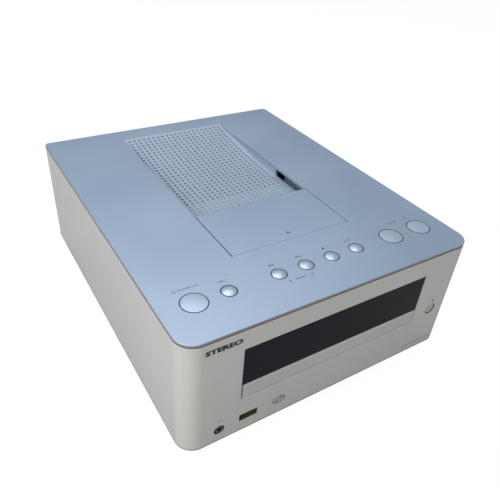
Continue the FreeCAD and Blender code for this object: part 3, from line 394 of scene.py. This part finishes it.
def strips(name, boxes, finish, body):
    # many thin strips in one mesh
    points, faces = [], []
    for low, high in boxes:
        corners, quads = slabPoints(low, high)
        faces += [[v + 8 * len(points) for v in quad] for quad in quads]
        points.append(corners)
    newPiece(name, np.vstack(points) * mm, faces, finish, body)


def arcPoints(radius, degrees):
    # radius times (cosine, sine) of each angle
    return radius * np.column_stack([np.cos(np.radians(degrees)), np.sin(np.radians(degrees))])


def arcBand(radius, width, fromTurn, toTurn, steps=40):
    # a band between two arcs: out along the outer arc and back along the inner one
    degrees = np.linspace(fromTurn, toTurn, steps)
    return np.vstack([arcPoints(radius + width / 2, degrees), arcPoints(radius - width / 2, degrees[::-1])])


def bar(x, y, width, height):
    # a rectangle about its middle
    return np.array([[-1, -1], [1, -1], [1, 1], [-1, 1]]) * [width / 2, height / 2] + [x, y]


def pointer(x, y, width, height, turn=0):
    # a triangle that points along +x before its turn
    shape = np.array([[-0.5, -0.5], [0.5, 0.0], [-0.5, 0.5]]) * [width, height]
    c, s = math.cos(math.radians(turn)), math.sin(math.radians(turn))
    return shape @ np.array([[c, s], [-s, c]]) + [x, y]


coverLow, coverHigh = boxMm("top_cover")
casingLow, casingHigh = boxMm("outer_casing")
topZ = coverHigh[2]
frontY = casingLow[1]
keyNames = worn["keySilver"] + worn["wideKeySilver"]
keyX = {name: sum(boxMm(name))[0] / 2 for name in keyNames}
keyY = sum(boxMm("power_button"))[1] / 2

# Marks by the keys, in millimetres. A row is a distance behind the middle of the keys.
keyMarks = {
    "rowHigh": 9.2,       # small keys' symbols
    "rowLarge": 12.8,     # large keys' symbols
    "rowLow": -8.6,       # preset arrows and their word, in front of the keys
    "height": 1.7,
    "presetDown": -28.0,  # places across the top of the signs that stand beside no key's middle
    "presetUp": -11.6,
    "power": -92.3,
}


def inkPiece(name, outlines, face, finish, body="case"):
    # face is (origin, right, up) in millimetres
    origin, right, up = face
    points, quads = inked(outlines, origin, right, up)
    newPiece(name, points * mm, quads, finish, body)


def topFace(x, y):
    # origin, right and up of a place on the top
    return (x, y, topZ), (1, 0, 0), (0, 1, 0)


def frontFace(x, z):
    # origin, right and up of a place on the front
    return (x, frontY, z), (1, 0, 0), (0, 0, 1)


tall = keyMarks["height"]
skipOn = [pointer(-0.85, 0, 1.5, tall), pointer(0.75, 0, 1.5, tall), bar(1.75, 0, 0.3, tall)]
skipBack = [outline[::-1] * [-1, 1] for outline in skipOn]
playPause = [pointer(-1.6, 0, 1.6, tall), np.array([[-0.5, -0.9], [-0.2, -0.9], [0.4, 0.9], [0.1, 0.9]]),
             bar(1.0, 0, 0.4, tall), bar(1.8, 0, 0.4, tall)]
topInks = {
    "markPrevious": (skipBack, keyX["previous_button"], keyMarks["rowHigh"]),
    "markNext": (skipOn, keyX["next_button"], keyMarks["rowHigh"]),
    "markStop": ([bar(0, 0, tall, tall)], keyX["stop_button"], keyMarks["rowHigh"]),
    "markPlay": (playPause, keyX["play_button"], keyMarks["rowHigh"]),
    "markPresetDown": ([pointer(0, 0, 1.6, tall, 180)], keyMarks["presetDown"], keyMarks["rowLow"]),
    "markPresetUp": ([pointer(0, 0, 1.6, tall)], keyMarks["presetUp"], keyMarks["rowLow"]),
    "markMinus": ([bar(0, 0, 1.9, 0.35)], keyX["volume_down_button"], keyMarks["rowLarge"]),
    "markPlus": ([bar(0, 0, 1.9, 0.35), bar(0, 0.575, 0.35, 0.775), bar(0, -0.575, 0.35, 0.775)],
                 keyX["volume_up_button"], keyMarks["rowLarge"]),
    "markPower": ([arcBand(0.95, 0.3, 120, 420), bar(0, 0.75, 0.3, 1.1)], keyMarks["power"],
                  keyMarks["rowLarge"]),
}
for name, (outlines, x, lift) in topInks.items():
    inkPiece(name, outlines, topFace(x, keyY + lift), "greyInk")

# Marks on the front: an eject sign, a headphone sign and a plain disc sign.
frontMarks = {"ejectLift": 7.6, "headphoneLift": 7.9, "jackRadius": 3.9, "discX": -41.4, "discLift": 12.8,
              "discWide": 1.55}
ejectX, _, ejectZ = sum(boxMm("eject_button")) / 2
jackX = sum(boxMm("headphone_jack"))[0] / 2
jackZ = boxMm("headphone_jack")[0][2] + frontMarks["jackRadius"]
inkPiece("markEject", [pointer(0, 0.5, 1.3, 2.4, 90), bar(0, -0.75, 2.4, 0.4)],
         frontFace(ejectX, ejectZ + frontMarks["ejectLift"]), "greyInk")
headphones = [arcBand(1.0, 0.25, 0, 180), bar(-1.0, -0.35, 0.55, 0.9), bar(1.0, -0.35, 0.55, 0.9)]
inkPiece("markHeadphone", headphones, frontFace(jackX, jackZ + frontMarks["headphoneLift"]), "greyInk")
# the disc sign: radius, width, first and last angle of each band; drawn tilted, so wider than high
discBands = [(2.9, 0.5, 1, 180), (2.9, 0.5, 181, 360), (1.0, 0.45, 1, 180), (1.0, 0.45, 181, 360),
             (1.95, 0.8, 15, 75), (1.95, 0.8, 195, 255)]
inkPiece("markDisc", [arcBand(*band) * [frontMarks["discWide"], 1.0] for band in discBands],
         frontFace(frontMarks["discX"], casingLow[2] + frontMarks["discLift"]), "signInk")
print("printed signs:", len(topInks) + 3)


letterForm = {"curveSteps": 3, "extrude": 0.02, "relief": 0.06}


def lettering(name, words, width, height, face, finish, bold=0.0):
    # words set in the plain built-in face, turned into a mesh, then fitted to width x height on a face
    curve = bpy.data.curves.new(name, "FONT")
    curve.body = words
    curve.resolution_u = letterForm["curveSteps"]
    curve.extrude = letterForm["extrude"]
    curve.offset = bold  # thickens the strokes, as a share of the letters' height
    source = bpy.data.objects.new(name + "Curve", curve)
    bpy.context.scene.collection.objects.link(source)
    bpy.context.view_layer.update()
    drawn = bpy.data.meshes.new_from_object(source)
    bpy.data.objects.remove(source)
    flat = np.empty(len(drawn.vertices) * 3)
    drawn.vertices.foreach_get("co", flat)
    flat = flat.reshape(-1, 3)
    low, high = flat.min(0), flat.max(0)
    flat = (flat - (low + high) / 2) / (high - low) * [width, height, letterForm["relief"]]
    origin, right, up = face
    faces = [list(polygon.vertices) for polygon in drawn.polygons]
    bpy.data.meshes.remove(drawn)
    newPiece(name, spread(origin, right, up, flat) * mm, faces, finish, "case")


# Plain words: what each key or socket does. Widths and heights are in millimetres.
topWords = {
    "wordStandby": ("STANDBY/ON", -83.6, keyMarks["rowLarge"], 12.6, 1.5),
    "wordInput": ("INPUT", keyX["input_button"] + 0.6, keyMarks["rowHigh"], 5.4, 1.5),
    "wordPreset": ("PRESET", -19.9, keyMarks["rowLow"], 7.6, 1.5),
    "wordVolume": ("VOLUME", 73.7, keyMarks["rowLarge"], 9.2, 1.5),
}
for name, (words, x, lift, width, height) in topWords.items():
    lettering(name, words, width, height, topFace(x, keyY + lift), "greyInk")
frontWords = {  # words, width and height, place across and above the casing's lower edge, ink, boldness
    "wordStereo": ("STEREO", 22.5, 3.7, -83.0, 79.2, "blackInk", 0.055),
    "wordReceiver": ("CD RECEIVER", 29.6, 1.5, 81.7, 6.2, "paleInk", 0.0),
}
for name, (words, width, height, x, lift, ink, bold) in frontWords.items():
    lettering(name, words, width, height, frontFace(x, casingLow[2] + lift), ink,
              bold=bold)
print("words:", len(topWords) + len(frontWords))

# The lid's arrow is painted in its shallow recess.
arrow = {"fromFront": 7.0, "depth": 0.29}
arrowFace = ((0, boxMm("dock_lid")[0][1] + arrow["fromFront"], topZ - arrow["depth"]), (1, 0, 0), (0, 1, 0))
inkPiece("arrowPaint", [pointer(0, 0.2, 3.4, 3.8, 90)], arrowFace, "softInk", "lid")


def turned(profile, centre, axis="y", steps=48):
    # a profile of (distance along the axis, radius) turned about the axis; its two ends meet, so it is closed
    angles = np.linspace(0, 2 * math.pi, steps, endpoint=False)
    along, radius = np.array(profile, float).T
    ring = np.stack([np.outer(radius, np.cos(angles)), np.repeat(along[:, None], steps, 1),
                     np.outer(radius, np.sin(angles))], -1)
    if axis == "z":
        ring = ring[..., [0, 2, 1]]
    return ring.reshape(-1, 3) + np.array(centre), gridFaces(len(profile), steps, closeRows=True)


def facing(piece):
    # turns every face outwards on a closed piece
    bpy.context.view_layer.objects.active = piece
    mesh = piece.data
    work = bmesh.new()
    work.from_mesh(mesh)
    bmesh.ops.recalc_face_normals(work, faces=work.faces)
    work.to_mesh(mesh)
    work.free()


def turnedPiece(name, profile, centre, finish, axis="y"):
    # a smooth turned piece whose corners stay crisp
    points, quads = turned(profile, centre, axis)
    piece = newPiece(name, points * mm, quads, finish, "case", smooth=True)
    facing(piece)
    split = piece.modifiers.new("edges", "EDGE_SPLIT")
    split.split_angle = crispEdge


def tube(start, end, inner, outer):
    # the closed profile of a plain tube between two places on its axis and two radii
    return [(start, inner), (start, outer), (end, outer), (end, inner)]


# Line sockets: a nickel sleeve over each moulded barrel, and a coloured insulator inside it.
sockets = {"columns": (22.0, 38.0, 54.0), "rows": (39.0, 55.0), "sleeve": 4.35, "barrel": 4.2,
           "insulator": 3.15, "pin": 2.65, "chamfer": 0.2, "lip": 0.9, "sunk": 1.2, "mouth": 2.4,
           "clear": 0.1, "seat": 0.02}
panelY = boxMm("rear_panel")[1][1]
socketY = boxMm("line_jacks")[1][1]
foot, tip, seat = panelY + sockets["clear"], socketY + sockets["clear"], socketY + sockets["seat"]
lipRadius = sockets["barrel"] - sockets["lip"]
sleeve = [(foot, sockets["barrel"]), (foot, sockets["sleeve"]),
          (socketY - sockets["chamfer"], sockets["sleeve"]), (tip, sockets["sleeve"] - sockets["chamfer"]),
          (tip, lipRadius), (seat, lipRadius), (seat, sockets["barrel"])]
cup = tube(panelY - sockets["sunk"], socketY - sockets["mouth"], sockets["pin"], sockets["insulator"])
for i, x in enumerate(sockets["columns"]):
    for j, z in enumerate(sockets["rows"]):
        turnedPiece(f"lineSleeve{i}{j}", sleeve, (x, 0, z), "brightNickel")
        turnedPiece(f"lineInsulator{i}{j}", cup, (x, 0, z), "whiteInsulator" if j else "redCap")
print("line sockets:", len(sockets["columns"]) * len(sockets["rows"]))

# Round the keys: painted shade, a dark ring in each gap, its lip just over the hole's edge, so every key has
# a fine dark line.
keyGap = {"inside": 0.43, "outside": -0.12, "low": 0.9, "high": -0.015, "small": 5.0, "large": 8.15}
for name in keyNames:
    hole = keyGap["large"] if name in worn["wideKeySilver"] else keyGap["small"]
    gapShadeRing = tube(topZ - keyGap["low"], topZ - keyGap["high"], hole - keyGap["inside"],
                  hole - keyGap["outside"])
    turnedPiece(name.replace("_button", "Gap"), gapShadeRing, (keyX[name], keyY, 0), "paintedGapShade",
                axis="z")
# the same painted shade in the eject key's gap
ejectGap = {"inner": 4.08, "outer": 4.39, "front": 0.04, "back": 1.4}
gapShadeRing = tube(frontY + ejectGap["front"], frontY + ejectGap["back"], ejectGap["inner"], ejectGap["outer"])
turnedPiece("ejectGap", gapShadeRing, (ejectX, 0, ejectZ), "paintedGapShade")
print("key gaps:", len(keyNames) + 1)

# Headphone socket: a nickel ring round its mouth, its front edges cut back.
mouth = {"inner": 1.86, "outer": 2.45, "front": -0.04, "back": 0.14, "cutAcross": 0.15, "cutAlong": 0.12}
face, cut, rear = frontY + mouth["front"], frontY + mouth["front"] + mouth["cutAlong"], frontY + mouth["back"]
rim = [(face, mouth["inner"] + mouth["cutAcross"]), (face, mouth["outer"] - mouth["cutAcross"]),
       (cut, mouth["outer"]), (rear, mouth["outer"]), (rear, mouth["inner"]), (cut, mouth["inner"])]
turnedPiece("headphoneRing", rim, (jackX, 0, jackZ), "brightNickel")

# The casing from above: the radii of its corners, and how far the wrap ends short of the back.
casingPlan = {"frontRadius": 12.0, "rearRadius": 3.5, "wrapEnd": 0.5}


def rimLoop(inset, height, steps=12):
    # the casing's outline from above, drawn in by an inset: four straight sides joined by quarter turns
    front, rear = casingPlan["frontRadius"] - inset, casingPlan["rearRadius"] - inset
    x, y0, y1 = casingHigh[0] - inset, coverLow[1] + inset, coverHigh[1] - inset
    corners = [(x - front, y0 + front, front, -90), (x - rear, y1 - rear, rear, 0),
               (-x + rear, y1 - rear, rear, 90), (-x + front, y0 + front, front, 180)]
    quarter = np.linspace(0, 90, steps)
    loop = np.vstack([arcPoints(radius, start + quarter) + [cx, cy] for cx, cy, radius, start in corners])
    return np.column_stack([loop, np.full(len(loop), height)])


def rimBand(name, section, finish):
    # a strip round the whole casing; its section is a closed run of (inset from the face, depth under top)
    loops = [rimLoop(inset, topZ - depth) for inset, depth in section]
    quads = gridFaces(len(loops), len(loops[0]), closeRows=True)
    facing(newPiece(name, np.vstack(loops) * mm, quads, finish, "case"))


def wrapLine(inset, steps=12):
    # the wrap's outline from above: up the left side, round the front corners, and back along the right side
    x, radius = casingHigh[0] - inset, casingPlan["frontRadius"] - inset
    y0, y1 = coverLow[1] + inset, coverHigh[1] - casingPlan["wrapEnd"]
    leftTurn = arcPoints(radius, np.linspace(180, 270, steps)) + [radius - x, y0 + radius]
    return np.vstack([[[-x, y1]], leftTurn, (leftTurn * [-1, 1])[::-1], [[x, y1]]])


def plainSection(outside, inside, high, low):
    # a rectangle: its insets from the casing's face and its depths under the top
    return [(inside, low), (outside, low), (outside, high), (inside, high)]


# Painted bands round the casing: shade and floor reflection on the top plate's edge, shade in the groove
# under it, and a shadow line along the wrap's lower edge.
proud = -0.03
plateEdge = {"inside": 0.3, "high": 0.42, "low": 1.37}
grooveShade = {"outside": 0.0, "inside": 1.2, "high": 1.39, "low": 2.24}
lowerEdge = {"inside": 0.04, "low": 0.02, "high": 0.75}
rimBand("plateEdge", plainSection(proud, **plateEdge), "edgeShadeAndReflection")
rimBand("grooveShadeBand", plainSection(**grooveShade), "grooveShadeGrey")
ribbon = np.vstack([wrapLine(proud), wrapLine(lowerEdge["inside"])[::-1]])
points, quads = inked([ribbon], (0, 0, casingLow[2]), (1, 0, 0), (0, 1, 0), lowerEdge["high"],
                      -lowerEdge["low"])
facing(newPiece("lowerEdge", points * mm, quads, "bottomShadowLine", "case"))
print("rim bands: 3")


def sidePair(name, size, finish, body):
    # one strip at each side of the middle, between two distances from it
    boxes = []
    for side in (-1, 1):
        x0, x1 = sorted((side * size["inside"], side * size["outside"]))
        boxes.append(((x0, size["front"], size["low"]), (x1, size["back"], size["high"])))
    strips(name, boxes, finish, body)


# Painted shade: dark grey strips on the lid's arms, seen through the guide slots, where the arms lie in
# shadow.
armShadeStrip = {"inside": 48.42, "outside": 48.62, "front": -52.0, "back": 0.0, "low": 86.75, "high": 92.2}
sidePair("lidArmShade", armShadeStrip, "greyMouldingAndArmShade", "lid")

# Painted shade: a sheet under the vent holes, coloured as the shade seen through them.
shadeSheet = {"depth": 8.6, "low": 8.7, "back": 105.7, "front": -22.0, "end": 102.0, "half": 45.6, "drop": 2.1,
          "thick": 0.15}


def holeShadeSheet(steps=28):
    # a thin sheet that follows the dish a little under it: level, then rising along the dish's own arc
    low, length, rise = topZ - shadeSheet["depth"], shadeSheet["back"] - shadeSheet["low"], shadeSheet["depth"]
    radius = (length ** 2 + rise ** 2) / (2 * rise) + shadeSheet["drop"]
    rising = np.linspace(0, shadeSheet["end"] - shadeSheet["low"], steps)
    y = np.concatenate([[shadeSheet["front"]], shadeSheet["low"] + rising])
    z = np.concatenate([[0.0], radius - np.sqrt(radius ** 2 - rising ** 2)]) + low - shadeSheet["drop"]
    rings = [np.column_stack([np.full(len(y), x), y, z - deep])
             for x, deep in ((-shadeSheet["half"], 0.0), (shadeSheet["half"], 0.0), (shadeSheet["half"], shadeSheet["thick"]),
                             (-shadeSheet["half"], shadeSheet["thick"]))]
    points = np.stack(rings, 1).reshape(-1, 3)
    last = 4 * len(y) - 4
    faces = gridFaces(len(y), 4) + [[3, 2, 1, 0], [last, last + 1, last + 2, last + 3]]
    facing(newPiece("holeShadeSheet", points * mm, faces, "holeShadeSheet", "case"))


holeShadeSheet()

# Painted shade: black strips down both sides of the lid's opening make the fine gap dark.
gapShadeStrip = {"inside": 46.54, "outside": 46.62, "front": -80.1, "back": -29.6, "low": topZ - 2.1,
        "high": topZ - 0.12}
sidePair("lidGapShade", gapShadeStrip, "paintedGapShade", "case")
# arm shade, gap shade and the sheet under the holes are all painted shade
print("lid glides, felt and dust screen")

# Words on the rear panel: plain names of the sockets.
rearHeights = {"word": 2.2, "minus": 0.4}
rearWords = {
    "rearLeft": ("L", 9.5, 55.0, 1.6), "rearRight": ("R", 9.5, 39.0, 1.8),
    "rearIn1": ("IN 1", 22.0, 65.5, 6.0), "rearIn2": ("IN 2", 38.0, 65.5, 6.6),
    "rearOut": ("OUT", 54.0, 65.5, 6.6),
    "rearSpeakers": ("SPEAKERS", -33.5, 76.0, 17.0), "rearAntenna": ("ANTENNA", 84.0, 76.5, 14.0),
    "rearMains": ("AC IN", -86.0, 43.5, 9.0), "rearMinus": ("-", -43.0, 51.0, 2.0),
    "rearPlus": ("+", -24.0, 51.0, 2.2),
}
for name, (words, x, z, width) in rearWords.items():
    height = rearHeights["minus" if words == "-" else "word"]
    lettering(name, words, width, height, ((x, panelY, z), (-1, 0, 0), (0, 0, 1)), "blackInk")
print("rear words:", len(rearWords))

# Dock plug: gold contacts on both faces of its tongue.
dockPlug = {"contacts": 15, "pitch": 1.3, "width": 0.6, "y": -67.0, "half": 0.9, "low": 76.4, "high": 79.3,
            "proud": 0.05}


def contactBoxes(middles, width, y0, y1, z0, z1):
    # one thin strip round each middle in x
    return [((x - width / 2, y0, z0), (x + width / 2, y1, z1)) for x in middles]


contactX = (np.arange(dockPlug["contacts"]) - (dockPlug["contacts"] - 1) / 2) * dockPlug["pitch"]
boxes = []
for side in (-1, 1):
    faceY = dockPlug["y"] + side * dockPlug["half"]
    boxes += contactBoxes(contactX, dockPlug["width"], faceY - dockPlug["proud"], faceY + dockPlug["proud"],
                          dockPlug["low"], dockPlug["high"])
strips("dockContacts", boxes, "goldPlate", "case")

# Data socket: a dark tongue with four contacts under it, and the shell's lips in the hole of the wrap.
usbLow, usbHigh = boxMm("usb_port")
usbMid = (usbLow + usbHigh) / 2
tongue = {"half": 5.56, "low": 0.39, "high": 2.31, "front": usbLow[1] + 1.7, "back": usbHigh[1] - 1.1}
strips("dataTongue", contactBoxes([usbMid[0]], 2 * tongue["half"], tongue["front"], tongue["back"],
                                  usbMid[2] + tongue["low"], usbMid[2] + tongue["high"]),
       "blackMoulding", "case")
lining = {"halfX": 6.4, "halfZ": 2.8, "thick": 0.06, "front": frontY + 0.03, "back": frontY + 2.68}
corners = np.array([[-1, 0, -1], [1, 0, -1], [1, 0, 1], [-1, 0, 1]])
shellLips = []
# out at the front, out at the back, in at the back and in at the front
for inset, y in ((0, lining["front"]), (0, lining["back"]), (lining["thick"], lining["back"]),
                 (lining["thick"], lining["front"])):
    reach = np.array([lining["halfX"] - inset, 0, lining["halfZ"] - inset])
    shellLips.append(corners * reach + [usbMid[0], y, usbMid[2]])
facing(newPiece("dataLining", np.vstack(shellLips) * mm, gridFaces(4, 4, closeRows=True), "darkTin", "case"))
dataContacts = {"places": (-3.5, -1.0, 1.0, 3.5), "width": 1.0, "short": 1.0, "low": 0.31, "high": 0.4}
strips("dataContacts", contactBoxes(usbMid[0] + np.array(dataContacts["places"]), dataContacts["width"],
                                    tongue["front"] + dataContacts["short"],
                                    tongue["back"] - dataContacts["short"],
                                    usbMid[2] + dataContacts["low"], usbMid[2] + dataContacts["high"]),
       "goldPlate", "case")
print("contacts:", dockPlug["contacts"] * 2 + len(dataContacts["places"]))

# Floor and light.
studio = {"floor": 4.0, "card": "#a8a8a6", "glow": 1.1, "glowShare": 0.88, "sky": "#f6f8fc",
          "skyStrength": 0.225, "backdrop": 1.05}
half = studio["floor"]
floorPoints = np.array([[-half, -half, 0], [half, -half, 0], [half, half, 0], [-half, half, 0]])
mesh = bpy.data.meshes.new("floor")
mesh.from_pydata(floorPoints.tolist(), [], [[0, 1, 2, 3]])
floor = bpy.data.objects.new("floor", mesh)
bpy.context.scene.collection.objects.link(floor)


def backlitPaper():
    # the sheet glows white towards the lens, and throws light back on the object as grey card does
    material = bpy.data.materials.new("backlitPaper")
    material.use_nodes = True
    tree = material.node_tree
    tree.nodes.clear()
    card = addNode(tree, "BsdfDiffuse", {"Color": hexColour(studio["card"])})
    glow = addNode(tree, "Emission", {"Color": (1, 1, 1, 1), "Strength": studio["glow"]})
    seen = addNode(tree, "LightPath").outputs["Is Camera Ray"]
    share = addNode(tree, "Math", {"operation": "MULTIPLY", 1: studio["glowShare"]}, {0: seen})
    sheet = addNode(tree, "MixShader", links={0: share.outputs["Value"], 1: card.outputs["BSDF"],
                                              2: glow.outputs["Emission"]})
    addNode(tree, "OutputMaterial", links={"Surface": sheet.outputs["Shader"]})
    return material


mesh.materials.append(backlitPaper())

# The room is dim for the object and plain white behind it.
world = bpy.data.worlds.new("studioSky")
bpy.context.scene.world = world
world.use_nodes = True
tree = world.node_tree
room = tree.nodes["Background"]
room.inputs["Color"].default_value = hexColour(studio["sky"])
behind = addNode(tree, "LightPath").outputs["Is Camera Ray"]
level = addNode(tree, "MapRange", {"To Min": studio["skyStrength"], "To Max": studio["backdrop"]},
                {"Value": behind})
tree.links.new(level.outputs["Result"], room.inputs["Strength"])

middle = Vector((0, 0, cadBox[1][2] / 2))
# place, size in metres, power in watts, colour
lamps = {
    "softboxLeft": ((-1.1, -0.35, 0.85), 0.9, 12.1, "#ffffff"),
    "softboxTop": ((-0.2, 0.3, 1.5), 1.3, 10.8, "#f8faff"),
    "softboxBack": ((0.27, 0.52, 1.12), 0.8, 2.9, "#ffffff"),
    "softboxFront": ((-0.5, -1.3, 0.7), 0.6, 3.1, "#fffcf7"),
    "softboxRight": ((1.2, -0.22, 0.25), 0.6, 2.6, "#ffffff"),
}
for name, (place, size, power, tint) in lamps.items():
    light = bpy.data.lights.new(name, "AREA")
    light.shape = "SQUARE"
    light.size = size
    light.energy = power
    light.color = hexColour(tint)[:3]
    lamp = bpy.data.objects.new(name, light)
    lamp.location = place
    lamp.rotation_euler = (middle - lamp.location).to_track_quat("-Z", "Y").to_euler()
    bpy.context.scene.collection.objects.link(lamp)
print("lights:", len(lamps))

# Camera: angles in degrees round the object, place in metres.
shot = {"azimuth": -34.1, "elevation": 35.62, "roll": 4.6, "place": (-0.1818, -0.2989, 0.2852), "lens": 37.6,
        "sensor": 36, "nearest": 0.01}
azimuth, elevation, roll = (math.radians(shot[key]) for key in ("azimuth", "elevation", "roll"))
back = Vector((math.sin(azimuth) * math.cos(elevation), -math.cos(azimuth) * math.cos(elevation),
               math.sin(elevation)))
right = Vector((math.cos(azimuth), math.sin(azimuth), 0))
up = back.cross(right)
tiltedRight = right * math.cos(roll) + up * math.sin(roll)
tiltedUp = up * math.cos(roll) - right * math.sin(roll)
camera = bpy.data.objects.new("camera", bpy.data.cameras.new("camera"))
camera.data.lens = shot["lens"]
camera.data.sensor_width = shot["sensor"]
camera.data.clip_start = shot["nearest"]
turn = Matrix((tiltedRight, tiltedUp, back)).transposed()
camera.matrix_world = Matrix.Translation(Vector(shot["place"])) @ turn.to_4x4()
bpy.context.scene.collection.objects.link(camera)
bpy.context.scene.camera = camera
bpy.context.scene.view_settings.view_transform = "Standard"
